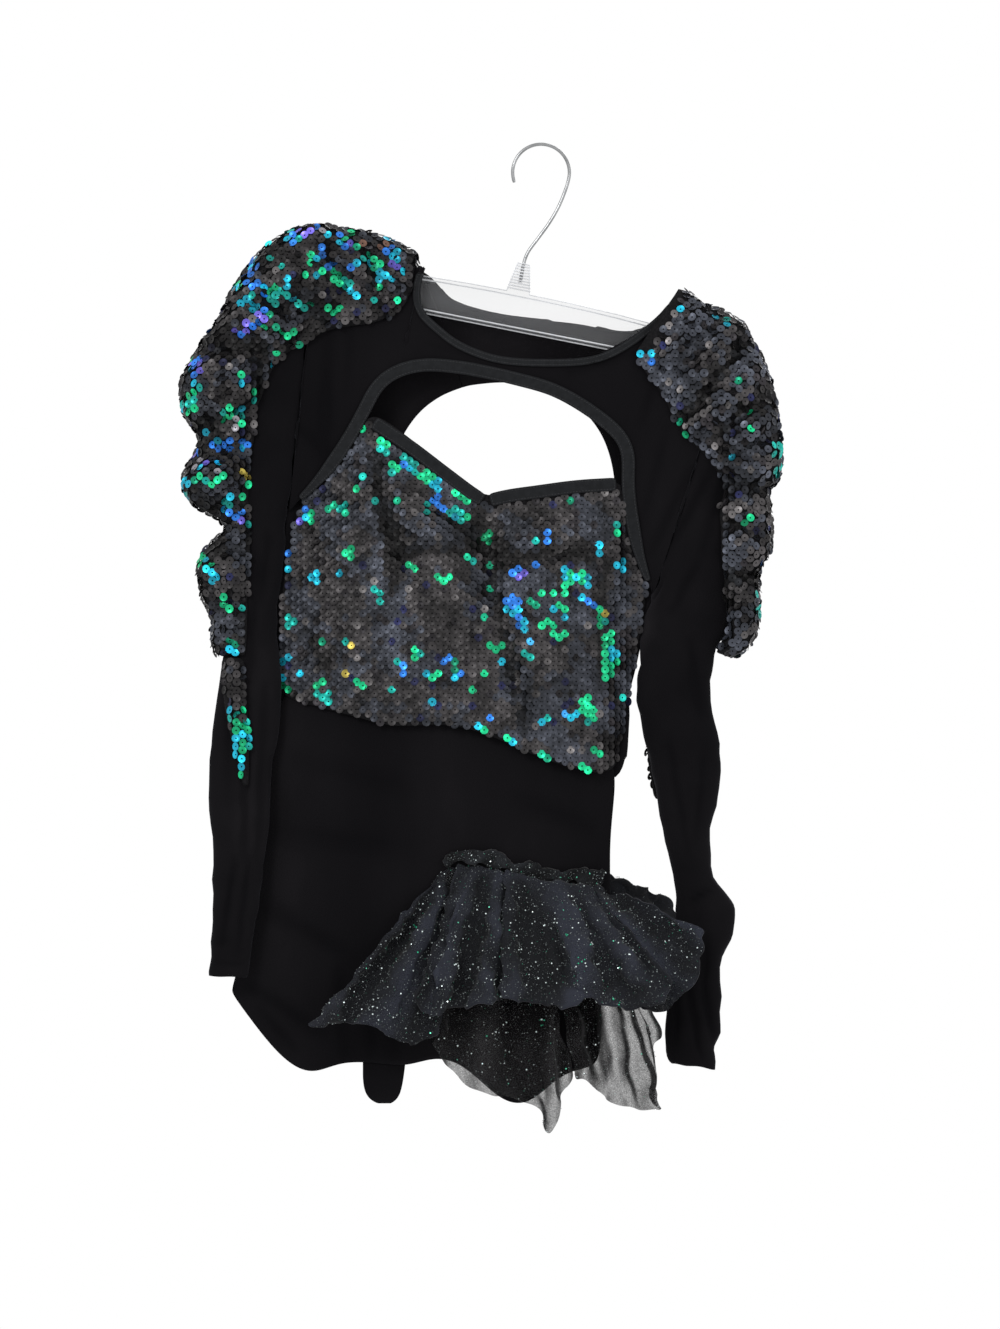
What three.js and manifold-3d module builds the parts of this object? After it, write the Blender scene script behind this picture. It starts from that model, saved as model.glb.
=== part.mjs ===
// A child's dance costume on a clear hanger: a long-sleeved velvet leotard with sequinned sleeve
// ruffles, a sequinned sweetheart bodice in a keyhole opening, and a glitter tulle bustle.
// Millimetres, +Z up, front towards -Y. The origin is the inside top of the hook, where a rail
// holds it. The hanger and everything on it hang crooked, as in the photograph.
import * as THREE from "three";
import { mergeVertices } from "three/addons/utils/BufferGeometryUtils.js";
import Module from "manifold-3d";

// Driving sizes
const VELVET_WALL = 1.2;
const SEQUIN_WALL = 1.4; // sequinned cloth with its backing
const TULLE_WALL = 1;
const BINDING_WALL = 1;
const BINDING_WIDTH = 9.8;
const NECK_BINDING_WIDTH = 5.6;
const SEAM = 0.3; // gap between two pieces at a seam
const LAYER_GAP = 0.35; // gap between two layers of tulle where they are sewn on
const LIE = 0.8; // gap between a panel and what lies on it
const ARMHOLE_GAP = 0.7;
const ARMHOLE_DEPTH = 12.5; // half the depth of a sleeve where it is set in
const LENS_POWER = 2.5; // how flat the hanging body is between its side seams
const SHOULDER_ROLL = 6.6; // how far forward the shoulder lies over the hanger's arm

const FRONT = -1;
const BACK = 1;

const MATERIALS = {
  velvet: { color: 0x0a0a0c, roughness: 0.9, metalness: 0 },
  binding: { color: 0x121214, roughness: 0.8, metalness: 0 },
  sequins: { color: 0x2c2a2e, roughness: 0.4, metalness: 0.3 },
  tulle: { color: 0x2a2e38, roughness: 0.7, metalness: 0 },
  plastic: { color: 0xdde3ea, roughness: 0.15, metalness: 0 },
  wire: { color: 0xb8bcc0, roughness: 0.25, metalness: 1 },
};

const costume = new THREE.Group();

// A short table: each row becomes an object with the named columns.
const table = (columns, rows) =>
  rows.map((row) => Object.fromEntries(columns.split(" ").map((name, i) => [name, row[i]])));

const point = (x, y, z) => new THREE.Vector3(x, y, z);
const mix = THREE.MathUtils.lerp;
const steps = (count) => Array.from({ length: count + 1 }, (_, i) => i / count);

function add(name, geometry, material) {
  geometry.computeVertexNormals();
  const mesh = new THREE.Mesh(geometry, new THREE.MeshStandardMaterial(MATERIALS[material]));
  mesh.name = name;
  costume.add(mesh);
  return mesh;
}

// A smooth line through a table's rows, in the front view.
const line = (rows) =>
  new THREE.CatmullRomCurve3(rows.map((r) => point(r.x, r.y ?? 0, r.z)), false, "centripetal");

// The value of a table's column at a place between its rows.
function column(rows, key, place, name) {
  const last = rows.length - 1;
  let i = 0;
  while (i < last - 1 && place > rows[i + 1][key]) i += 1;
  const share = (place - rows[i][key]) / (rows[i + 1][key] - rows[i][key]);
  return mix(rows[i][name], rows[i + 1][name], THREE.MathUtils.clamp(share, 0, 1));
}

// The closed wall between an outer and an inner grid of points; a tube's columns wrap round.
function wallBetween(outer, inner, wraps = false) {
  const rows = outer.length;
  const across = outer[0].length;
  const position = [...outer.flat(), ...inner.flat()].flatMap((p) => [p.x, p.y, p.z]);
  const at = (r, c) => r * across + (c % across);
  const under = (r, c) => at(r, c) + rows * across;
  const index = [];
  const quad = (a, b, c, d) => index.push(a, b, c, a, c, d);
  const cells = wraps ? across : across - 1;
  for (let r = 0; r < rows - 1; r += 1) {
    for (let c = 0; c < cells; c += 1) {
      quad(at(r, c), at(r, c + 1), at(r + 1, c + 1), at(r + 1, c));
      quad(under(r, c), under(r + 1, c), under(r + 1, c + 1), under(r, c + 1));
    }
  }
  for (let c = 0; c < cells; c += 1) {
    quad(at(0, c), under(0, c), under(0, c + 1), at(0, c + 1));
    quad(at(rows - 1, c), at(rows - 1, c + 1), under(rows - 1, c + 1), under(rows - 1, c));
  }
  for (let r = 0; r < rows - 1 && !wraps; r += 1) {
    quad(at(r, 0), at(r + 1, 0), under(r + 1, 0), under(r, 0));
    quad(at(r, across - 1), under(r, across - 1), under(r + 1, across - 1), at(r + 1, across - 1));
  }
  const geometry = new THREE.BufferGeometry();
  geometry.setAttribute("position", new THREE.Float32BufferAttribute(position, 3));
  geometry.setIndex(volume(position, index) < 0 ? index.reverse() : index);
  return geometry;
}

function volume(position, index) {
  const corner = (i) => point(...position.slice(3 * i, 3 * i + 3));
  let sum = 0;
  for (let i = 0; i < index.length; i += 3) {
    sum += corner(index[i]).dot(corner(index[i + 1]).cross(corner(index[i + 2])));
  }
  return sum;
}

// Each point of a grid moved inwards by the cloth's thickness. outward is the way that the
// grid's middle point faces; side keeps a front or back panel on its own side of the side seams.
function inwards(grid, thickness, outward, { wraps = false, side = 0 } = {}) {
  const rows = grid.length;
  const across = grid[0].length;
  const normal = (r, c) => {
    const left = wraps ? (c + across - 1) % across : Math.max(c - 1, 0);
    const right = wraps ? (c + 1) % across : Math.min(c + 1, across - 1);
    const alongRow = grid[r][right].clone().sub(grid[r][left]);
    const alongColumn = grid[Math.min(r + 1, rows - 1)][c].clone().sub(grid[Math.max(r - 1, 0)][c]);
    return alongRow.cross(alongColumn).normalize();
  };
  const sign = Math.sign(normal(rows >> 1, wraps ? 0 : across >> 1).dot(outward)) || 1;
  return grid.map((row, r) =>
    row.map((p, c) => {
      const moved = p.clone().addScaledVector(normal(r, c), -sign * thickness);
      if (side && moved.y * side < SEAM / 2) moved.y = (side * SEAM) / 2;
      return moved;
    }),
  );
}

// The outermost y of some grids over a place in the front view, or null beside them.
function surfaceAt(grids, x, z, side) {
  let best = null;
  const test = (a, b, c) => {
    const area = (b.x - a.x) * (c.z - a.z) - (c.x - a.x) * (b.z - a.z);
    if (Math.abs(area) < 1e-9) return;
    const v = ((x - a.x) * (c.z - a.z) - (c.x - a.x) * (z - a.z)) / area;
    const w = ((b.x - a.x) * (z - a.z) - (x - a.x) * (b.z - a.z)) / area;
    if (v < -1e-6 || w < -1e-6 || v + w > 1 + 1e-6) return;
    const y = a.y + v * (b.y - a.y) + w * (c.y - a.y);
    if (best === null || (y - best) * side > 0) best = y;
  };
  for (const grid of grids) {
    const cells = grid.wraps ? grid[0].length : grid[0].length - 1;
    for (let r = 0; r < grid.length - 1; r += 1) {
      for (let c = 0; c < cells; c += 1) {
        const d = (c + 1) % grid[0].length;
        test(grid[r][c], grid[r][d], grid[r + 1][d]);
        test(grid[r][c], grid[r + 1][d], grid[r + 1][c]);
      }
    }
  }
  return best;
}

// A flat binding that lies on the panels under it, along a line in the front view. It can
// narrow at its ends.
const END_STEPS = 3;
function binding(path, outerWidth, innerWidth, under, side, thickness = BINDING_WALL, narrows = 1) {
  const last = path.length - 1;
  const top = [];
  const base = [];
  path.forEach((p, i) => {
    const along = path[Math.min(i + 1, last)].clone().sub(path[Math.max(i - 1, 0)]);
    const acrossWay = point(-along.z, 0, along.x).normalize();
    const share = mix(narrows, 1, Math.min(1, Math.min(i, last - i) / END_STEPS));
    const places = [outerWidth, 0, -innerWidth].map((w) =>
      p.clone().addScaledVector(acrossWay, w * share),
    );
    const found = places.map((q) => surfaceAt(under, q.x, q.z, side));
    const known = found.filter((y) => y !== null);
    const far = known.length ? side * Math.max(...known.map((y) => y * side)) : p.y;
    const seat = found.map((y, k) => (y === null || k === 1 ? far : y) + side * LIE);
    top.push(places.map((q, k) => point(q.x, seat[k] + side * thickness, q.z)));
    base.push(places.map((q, k) => point(q.x, seat[k], q.z)));
  });
  return { geometry: wallBetween(top, base), grid: top };
}

// Body sections, from under the bodice's hem to the leg openings: where the side seams are and
// how far the front and back stand out halfway between them.
const BODY = table("leftX leftZ rightX rightZ front back", [
  [-184, -409, 45, -452, 14, 12], // hidden by the bodice
  [-196, -418, 56, -471, 17, 13],
  [-203, -468, 52, -513, 17, 13], // waist
  [-209, -536, 52, -562, 18, 15],
  [-220, -588, 51, -603, 19, 17],
  [-230, -626, 46, -633, 18, 17], // hip, where the leg openings start
]);

// The lower edge, from the left hip along the left leg opening, crotch and right leg opening.
const LOWER_EDGE = table("x z reach", [
  [-232, -635, 2],
  [-218, -654, 5],
  [-203, -673, 7],
  [-187, -688, 8],
  [-170, -694, 8],
  [-152, -688, 7],
  [-133, -687, 6],
  [-116, -688, 6],
  [-100, -689, 6],
  [-81, -684, 7],
  [-64, -687, 8],
  [-47, -699, 9],
  [-28, -715, 9],
  [-8, -716, 8],
  [11, -700, 7],
  [29, -692, 5],
  [43, -686, 2],
]);

const EDGE_TURN = 1; // how far the leg openings' edge turns in
const HIP_SHARES = [0.5, 1]; // rows between the hip and that edge

const lens = (u) => 1 - Math.abs(2 * u - 1) ** LENS_POWER;

function bodyGrid(sections, side) {
  const us = steps(LOWER_EDGE.length - 1);
  const depthName = side === FRONT ? "front" : "back";
  const grid = sections.map((s) =>
    us.map((u) =>
      point(
        mix(s.leftX, s.rightX, u),
        side * (SEAM / 2 + VELVET_WALL + s[depthName] * lens(u)),
        mix(s.leftZ, s.rightZ, u),
      ),
    ),
  );
  const hip = grid.at(-1);
  for (const share of HIP_SHARES) {
    grid.push(
      hip.map((p, c) => {
        const edge = LOWER_EDGE[c];
        const goal = point(edge.x, side * (SEAM / 2 + VELVET_WALL + edge.reach - EDGE_TURN), edge.z);
        return p.clone().lerp(goal, share);
      }),
    );
  }
  return grid;
}

// The armholes run from the underarm up to the shoulder point, in a plane seen edge on.
const [LEFT_ARMHOLE, RIGHT_ARMHOLE] = table("underX underZ shoulderX shoulderZ away", [
  [-189, -274, -168, -81, -1],
  [84, -338, 146, -143, 1],
]);

// Places up an armhole from the underarm, and where the front yoke's keyhole edge answers them.
const ARMHOLE_PLACES = table("share leftAlong rightAlong", [
  [0, 0, 1],
  [0.14, 0.06, 0.94],
  [0.34, 0.12, 0.88],
  [0.56, 0.17, 0.83],
  [0.78, 0.205, 0.79],
  [0.93, 0.23, 0.765],
]);

// The shoulders, from the sleeve to the neck and from the neck to the other sleeve.
const LEFT_SHOULDER = table("x z along", [
  [-168, -81, 0.245],
  [-143, -85, 0.262],
  [-117, -89, 0.28],
  [-90, -93, 0.298],
]);
const RIGHT_SHOULDER = table("x z along", [
  [100, -118, 0.722],
  [123, -132, 0.737],
  [146, -143, 0.752],
]);

const FRONT_NECK = table("x z y along", [
  [-90, -94, -6.8, 0.302],
  [-93, -106, -8.5, 0.31],
  [-90, -122, -10, 0.325],
  [-79, -133, -11, 0.352],
  [-66, -144, -12, 0.385],
  [-50, -152, -12.5, 0.428],
  [-31, -158, -13, 0.478],
  [-8, -160, -13, 0.535],
  [18, -160, -12.5, 0.6],
  [44, -157, -11.5, 0.655],
  [68, -145, -10.5, 0.69],
  [86, -131, -8.5, 0.71],
]);
const BACK_NECK = table("x z y along", [
  [-90, -94, 6.8, 0],
  [-81, -101, 7.5, 0],
  [-68, -115, 8.5, 0],
  [-40, -125, 9, 0],
  [-10, -130, 9, 0],
  [29, -134, 9, 0],
  [53, -140, 8.5, 0],
  [74, -139, 8, 0],
  [89, -129, 7.5, 0],
]);

// The edge of the front keyhole, from the left underarm over the top to the right underarm.
const KEYHOLE = table("x z", [
  [-184, -268],
  [-166, -250],
  [-152, -232],
  [-139, -211],
  [-130, -194],
  [-121, -179],
  [-106, -169],
  [-88, -165],
  [-66, -166],
  [-42, -170],
  [-16, -176],
  [8, -183],
  [29, -194],
  [46, -206],
  [59, -218],
  [65, -232],
  [65, -252],
  [68, -280],
  [74, -308],
  [82, -331],
]);
const KEYHOLE_DEPTH = table("along y", [
  [0, -2],
  [0.06, -6.5],
  [0.12, -10.5],
  [0.19, -12.5],
  [0.26, -13.5],
  [0.5, -14.5],
  [0.79, -13.5],
  [0.86, -10.5],
  [0.93, -6.5],
  [1, -2],
]);

// The back keyhole is a rounded opening: its centre, half width, and reach up and down.
const BACK_KEYHOLE = { x: 0, z: 0, halfWidth: 85, up: 89, down: 100, power: 2.3, y: 12 };
[BACK_KEYHOLE.x, BACK_KEYHOLE.z] = [-29, -266];

const ROLL_REACH = 2; // how far from an edge the shoulder turns down
const ROLL_LIMIT = 0.2; // and as a share of the panel's width
const SHOULDER_SEAM = 0.25; // how far each yoke's shoulder lies from the seam

function armholePoint(hole, share, side) {
  const swing = 2 * Math.sqrt(share * (1 - share));
  const y = side * Math.max(SEAM / 2 + VELVET_WALL, ARMHOLE_DEPTH * swing);
  return point(mix(hole.underX, hole.shoulderX, share), y, mix(hole.underZ, hole.shoulderZ, share));
}

// The outer edge of a yoke: up one armhole, over the shoulder, round the neck and down again.
function yokeEdge(side) {
  const neck = side === FRONT ? FRONT_NECK : BACK_NECK;
  const shoulder = (r) => ({ edge: point(r.x, side * SHOULDER_SEAM, r.z), along: r.along, rolls: true });
  return [
    ...ARMHOLE_PLACES.map((r) => ({
      edge: armholePoint(LEFT_ARMHOLE, r.share, side),
      along: r.leftAlong,
    })),
    ...LEFT_SHOULDER.map(shoulder),
    ...neck.map((r) => ({ edge: point(r.x, r.y, r.z), along: r.along, neck: true })),
    ...RIGHT_SHOULDER.map(shoulder),
    ...ARMHOLE_PLACES.toReversed().map((r) => ({
      edge: armholePoint(RIGHT_ARMHOLE, r.share, side),
      along: r.rightAlong,
    })),
  ];
}

// Rows of a panel between its outer edge and its keyhole, turning down just inside the edge.
function panelRows(stations, inner, side, shares) {
  const turn = stations.map((s, i) => {
    const reach = ROLL_REACH / s.edge.distanceTo(inner[i]);
    const p = s.edge.clone().lerp(inner[i], Math.min(reach, ROLL_LIMIT));
    if (s.rolls) p.y = side * SHOULDER_ROLL;
    return p;
  });
  const between = shares.map((share) => turn.map((p, i) => p.clone().lerp(inner[i], share)));
  return [stations.map((s) => s.edge), turn, ...between];
}

const keyholeLine = line(KEYHOLE);
function keyholePoint(along) {
  const p = keyholeLine.getPointAt(along);
  p.y = column(KEYHOLE_DEPTH, "along", along, "y");
  return p;
}

// Rows of the yoke and of the back, as shares of the way to the keyhole.
const YOKE_SHARES = [0.36, 0.68, 1];
const BACK_SHARES = [0.5, 1];

const frontStations = yokeEdge(FRONT);
const frontYoke = panelRows(
  frontStations,
  frontStations.map((s) => keyholePoint(s.along)),
  FRONT,
  YOKE_SHARES,
);
add(
  "front_yoke",
  wallBetween(frontYoke, inwards(frontYoke, VELVET_WALL, point(0, FRONT, 0), { side: FRONT })),
  "velvet",
);

// The back goes on down both side seams and across at the height of the bodice's hem.
const BACK_HEM = { leftX: 0, leftZ: 0, rightX: 0, rightZ: 0 };
[BACK_HEM.leftX, BACK_HEM.leftZ] = [-196, -416];
[BACK_HEM.rightX, BACK_HEM.rightZ] = [56, -470];
const HEM_CELLS = 6;
const RIGHT_SIDE = table("x z", [[73, -376], [66, -410]]);
const LEFT_SIDE = table("x z", [[-199, -381], [-194, -322]]);

function backStations() {
  const sideEdge = (r) => ({ edge: point(r.x, SEAM / 2 + VELVET_WALL, r.z) });
  const hem = steps(HEM_CELLS).map((u) => ({
    edge: point(
      mix(BACK_HEM.rightX, BACK_HEM.leftX, u),
      SEAM / 2 + VELVET_WALL + BODY[1].back * lens(u),
      mix(BACK_HEM.rightZ, BACK_HEM.leftZ, u),
    ),
  }));
  return [...yokeEdge(BACK), ...RIGHT_SIDE.map(sideEdge), ...hem, ...LEFT_SIDE.map(sideEdge)];
}

function backKeyholePoint(edge) {
  const k = BACK_KEYHOLE;
  const across = Math.abs((edge.x - k.x) / k.halfWidth) ** k.power;
  const along = Math.abs((edge.z - k.z) / (edge.z > k.z ? k.up : k.down)) ** k.power;
  const share = (across + along) ** (-1 / k.power);
  return point(mix(k.x, edge.x, share), k.y, mix(k.z, edge.z, share));
}

const backEdge = backStations();
const backHole = backEdge.map((s) => backKeyholePoint(s.edge));
const backPanel = panelRows(backEdge, backHole, BACK, BACK_SHARES);
backPanel.wraps = true;
const backInside = inwards(backPanel, VELVET_WALL, point(0, BACK, 0), { wraps: true, side: BACK });
add("back", wallBetween(backPanel, backInside, true), "velvet");

// Neck bindings lie just inside the neck edge, front and back.
function neckPath(stations, grid) {
  const first = stations.findIndex((s) => s.neck) - 1;
  const last = stations.findLastIndex((s) => s.neck) + 1;
  return stations.slice(first, last + 1).map((s, i) => {
    const down = grid.at(-1)[first + i].clone().sub(s.edge).setY(0).normalize();
    return s.edge.clone().addScaledVector(down, NECK_BINDING_WIDTH / 2 + SEAM);
  });
}
const neckHalf = NECK_BINDING_WIDTH / 2;
const frontNeck = binding(neckPath(frontStations, frontYoke), neckHalf, neckHalf, [frontYoke], FRONT);
add("neck_binding_front", frontNeck.geometry, "binding");
const backNeck = binding(neckPath(backEdge, backPanel), neckHalf, neckHalf, [backPanel], BACK);
add("neck_binding_back", backNeck.geometry, "binding");

// The bodice: for each column its top edge, its hem and how far forward its top edge lies.
const BODICE = table("topX topZ hemX hemZ topY", [
  [-182, -272, -195, -412, -2],
  [-164, -254, -178, -418, -6.5],
  [-148, -235, -161, -422, -10.5],
  [-136, -215, -146, -426, -12.5],
  [-127, -200, -134, -429, -13.5],
  [-106, -214, -117, -434, -14],
  [-87, -228, -97, -435, -14.5],
  [-67, -244, -76, -433, -15],
  [-50, -257, -58, -436, -15],
  [-40, -263, -43, -440, -14.5],
  [-27, -260, -28, -446, -15],
  [-7, -256, -11, -454, -15],
  [14, -254, 7, -461, -14.5],
  [35, -251, 23, -466, -14],
  [61, -250, 37, -469, -13.5],
  [64, -281, 44, -470, -10.5],
  [71, -308, 51, -468, -6.5],
  [80, -333, 56, -465, -2],
]);
const BODICE_FULLNESS = 24;
const FULL_BY = 1 / 2.2; // share of the height by which the bodice has its whole fullness
const FORMED_BY = 0.2; // and by which its cups and folds have their whole depth
const SIDE_SWELL = 6; // the left side bows out below the underarm
const SWELL_POWER = 6; // how fast that dies away across the bodice

// Cups stand out and ruching, folds and creases sink in: places and sizes as shares of the
// bodice's width and height, depth in millimetres (a cup's is negative).
const BODICE_FORMS = table("startU startV endU endV width depth", [
  [0.27, 0.22, 0.33, 0.26, 0.1, -7], // left cup
  [0.72, 0.2, 0.78, 0.2, 0.1, -6], // right cup
  [0.53, 0, 0.54, 0.42, 0.035, 6], // ruched centre
  [0.55, 0.45, 0.63, 1, 0.035, 3], // centre crease
  [0.24, 0.15, 0.36, 0.45, 0.03, 3.5], // fold under the left cup
  [0.38, 0.42, 0.5, 0.32, 0.03, 2.5],
  [0.58, 0.3, 0.75, 0.28, 0.03, 2.5], // fold under the right cup
]);

function formDepth(u, v) {
  return BODICE_FORMS.reduce((sum, f) => {
    const alongU = f.endU - f.startU;
    const alongV = f.endV - f.startV;
    const length = alongU * alongU + alongV * alongV;
    const along = ((u - f.startU) * alongU + (v - f.startV) * alongV) / length;
    const share = THREE.MathUtils.clamp(along, 0, 1);
    const away = Math.hypot(u - f.startU - share * alongU, v - f.startV - share * alongV);
    return sum + f.depth * Math.exp(-((away / f.width) ** 2));
  }, 0);
}

const BODICE_ROWS = 12;
const bodice = steps(BODICE_ROWS).map((v) =>
  BODICE.map((c, i) => {
    const u = i / (BODICE.length - 1);
    const full = -(SEAM / 2 + SEQUIN_WALL + BODICE_FULLNESS * lens(u));
    const formed = formDepth(u, v) * lens(u) * Math.min(1, v / FORMED_BY);
    const y = mix(c.topY, full, Math.min(1, v / FULL_BY)) + formed;
    const swell = SIDE_SWELL * Math.sin(Math.PI * v) * (1 - u) ** SWELL_POWER;
    return point(mix(c.topX, c.hemX, v) - swell, y, mix(c.topZ, c.hemZ, v));
  }),
);
add(
  "bodice",
  wallBetween(bodice, inwards(bodice, SEQUIN_WALL, point(0, FRONT, 0), { side: FRONT })),
  "sequins",
);

// The lower body below the bodice, front and back.
const BACK_SEAM_DROP = 1.3; // keeps the back's waist seam open
const bodyFront = bodyGrid(BODY, FRONT);
const bodyBack = bodyGrid(BODY.slice(1), BACK);
bodyBack[0].forEach((p) => {
  p.z -= BACK_SEAM_DROP;
});
add(
  "body_front",
  wallBetween(bodyFront, inwards(bodyFront, VELVET_WALL, point(0, FRONT, 0), { side: FRONT })),
  "velvet",
);
add(
  "body_back",
  wallBetween(bodyBack, inwards(bodyBack, VELVET_WALL, point(0, BACK, 0), { side: BACK })),
  "velvet",
);

// The crotch hangs down as a narrow fold between the leg openings, front edge to back edge.
const GUSSET = table("y drop leftX rightX", [
  [-4.2, -6, -133.5, -102], // inside the body's edge
  [-4.4, 0, -133.5, -102],
  [-6.6, 8, -133.5, -103],
  [-6.4, 19, -132, -105],
  [-3.4, 26, -127, -109],
  [0, 28.5, -122, -113],
  [3.4, 26, -127, -109],
  [6.4, 19, -132, -105],
  [6.6, 8, -133.5, -103],
  [4.4, 0, -133.5, -102],
  [4.2, -6, -133.5, -102],
]);
const gussetTop = Math.min(...LOWER_EDGE.slice(6, 9).map((r) => r.z)) - 2 * SEAM;
const gusset = GUSSET.map((r) =>
  steps(3).map((u) => point(mix(r.leftX, r.rightX, u), r.y, gussetTop - r.drop)),
);
add("gusset", wallBetween(gusset, inwards(gusset, VELVET_WALL, point(0, 0, -1))), "velvet");

// Sleeves: each ring's outer and inner point in the front view, its middle and half its depth.
// They fan out from the armhole, turn down and hang straight.
const LEFT_SLEEVE = table("outerX outerZ innerX innerZ middle depth", [
  [-194, -90, -191, -281, 0, 13],
  [-211, -114, -192, -289, 0, 13.5],
  [-222, -149, -192, -297, 0, 14],
  [-228, -190, -193, -305, 0, 14],
  [-230, -236, -194, -315, 0, 14],
  [-229, -280, -195, -329, 0, 13.5],
  [-232, -322, -198, -350, -1, 13],
  [-237, -370, -196, -382, -7, 12.5],
  [-243, -416, -194, -419, -10.5, 11],
  [-248, -460, -200, -460, -13, 10],
  [-248, -498, -203, -498, -15, 9.5],
  [-245, -539, -207, -539, -17, 9],
  [-246, -580, -213, -580, -19, 8.5],
  [-247, -607, -217, -608, -20, 8],
  [-248, -621, -219, -622, -20, 7.5],
]);
const RIGHT_SLEEVE = table("outerX outerZ innerX innerZ middle depth", [
  [155, -158, 85, -345, 0, 13],
  [160, -187, 82, -352, 0, 14],
  [160, -220, 81, -360, 0, 14],
  [156, -258, 79, -368, 0, 14],
  [151, -296, 77, -376, 0, 13.5],
  [143, -333, 75, -386, 0, 13],
  [134, -363, 73, -397, 0, 12.5],
  [129, -387, 72, -408, 0, 12],
  [128, -416, 74, -426, 0, 12],
  [134, -448, 79, -449, 0, 12],
  [134, -476, 85, -475, 0, 12],
  [129, -502, 89, -502, 0, 12],
  [127, -542, 97, -540, 0, 11.5],
  [140, -562, 101, -560, 0, 11],
  [146, -576, 101, -576, 0, 11],
  [142, -596, 98, -596, 0, 10.5],
  [135, -615, 96, -615, 0, 10.5],
  [135, -660, 94, -650, 0, 10],
  [130, -674, 94, -679, 0, 9.5],
  [131, -692, 97, -688, 0, 9],
]);
const RING_SIDES = 14;

function sleeve(hole, rows) {
  const gap = hole.away * ARMHOLE_GAP;
  const armhole = {
    outerX: hole.shoulderX + gap,
    outerZ: hole.shoulderZ,
    innerX: hole.underX + gap,
    innerZ: hole.underZ,
    middle: 0,
    depth: ARMHOLE_DEPTH,
  };
  const ring = (r, wall) => {
    const outer = point(r.outerX, r.middle, r.outerZ);
    const inner = point(r.innerX, r.middle, r.innerZ);
    const centre = outer.clone().lerp(inner, 0.5);
    const half = outer.distanceTo(inner) / 2;
    const way = outer.clone().sub(centre).normalize();
    return Array.from({ length: RING_SIDES }, (_, i) => {
      const a = (i * 2 * Math.PI) / RING_SIDES;
      const p = centre.clone().addScaledVector(way, (half - wall) * Math.cos(a));
      p.y += (r.depth - wall) * Math.sin(a);
      return p;
    });
  };
  const all = [armhole, ...rows];
  const outside = all.map((r) => ring(r, 0));
  outside.wraps = true;
  return { outside, geometry: wallBetween(outside, all.map((r) => ring(r, VELVET_WALL)), true) };
}

const leftSleeve = sleeve(LEFT_ARMHOLE, LEFT_SLEEVE);
const rightSleeve = sleeve(RIGHT_ARMHOLE, RIGHT_SLEEVE);
add("sleeve_left", leftSleeve.geometry, "velvet");
add("sleeve_right", rightSleeve.geometry, "velvet");

// Sleeve ruffles: sequinned cloth gathered over the shoulder and down the outside of each
// sleeve in lobes. Each row has its outer edge, its front edge on the sleeve, and how far the
// front and back stand out there.
const LEFT_RUFFLE = table("outerX outerZ innerX innerZ front back", [
  [-93, -88, -98, -106, 10, 9],
  [-96, -78, -106, -125, 14, 12],
  [-120, -69, -128, -134, 20, 17],
  [-149, -61, -146, -136, 24, 21],
  [-181, -62, -164, -140, 27, 24],
  [-209, -79, -178, -150, 29, 26],
  [-226, -100, -190, -154, 31, 27],
  [-243, -132, -200, -166, 33, 28],
  [-259, -154, -206, -182, 34, 28],
  [-268, -177, -211, -196, 34, 28],
  [-268, -200, -214, -210, 31, 26],
  [-256, -220, -216, -226, 24, 21],
  [-266, -241, -217, -243, 29, 24],
  [-267, -258, -218, -259, 27, 23],
  [-257, -272, -218, -272, 22, 20],
  [-236, -284, -217, -284, 18, 17],
  [-249, -300, -218, -299, 22, 20],
  [-256, -316, -218, -315, 24, 21],
  [-254, -339, -220, -339, 23, 20],
  [-246, -356, -220, -354, 20, 18],
  [-247, -369, -220, -369, 19, 17],
  [-242, -382, -221, -382, 17, 16],
]);
const RIGHT_RUFFLE = table("outerX outerZ innerX innerZ front back", [
  [104, -106, 70, -157, 15, 13],
  [119, -116, 79, -171, 19, 16],
  [136, -123, 88, -182, 23, 20],
  [150, -134, 94, -196, 26, 23],
  [159, -148, 102, -211, 28, 25],
  [167, -162, 112, -223, 30, 26],
  [172, -178, 122, -233, 32, 27],
  [177, -202, 131, -243, 33, 28],
  [180, -228, 136, -254, 31, 27],
  [177, -249, 135, -265, 26, 23],
  [171, -260, 134, -274, 22, 20],
  [172, -282, 135, -290, 25, 22],
  [171, -304, 136, -307, 24, 21],
  [164, -316, 136, -320, 20, 18],
  [164, -333, 137, -335, 22, 19],
  [162, -356, 139, -355, 20, 18],
  [155, -374, 137, -370, 17, 15],
  [142, -383, 132, -380, 14, 13],
]);
const RUFFLE_ACROSS = [0, 0.12, 0.27, 0.45, 0.63, 0.8, 0.93];
const RUFFLE_RISE = 0.4; // share of the width over which the ruffle rises from its edge
const RUFFLE_POWER = 3;
const RUFFLE_EDGE = 3; // how far out the edge lies where no sleeve is under it

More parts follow.
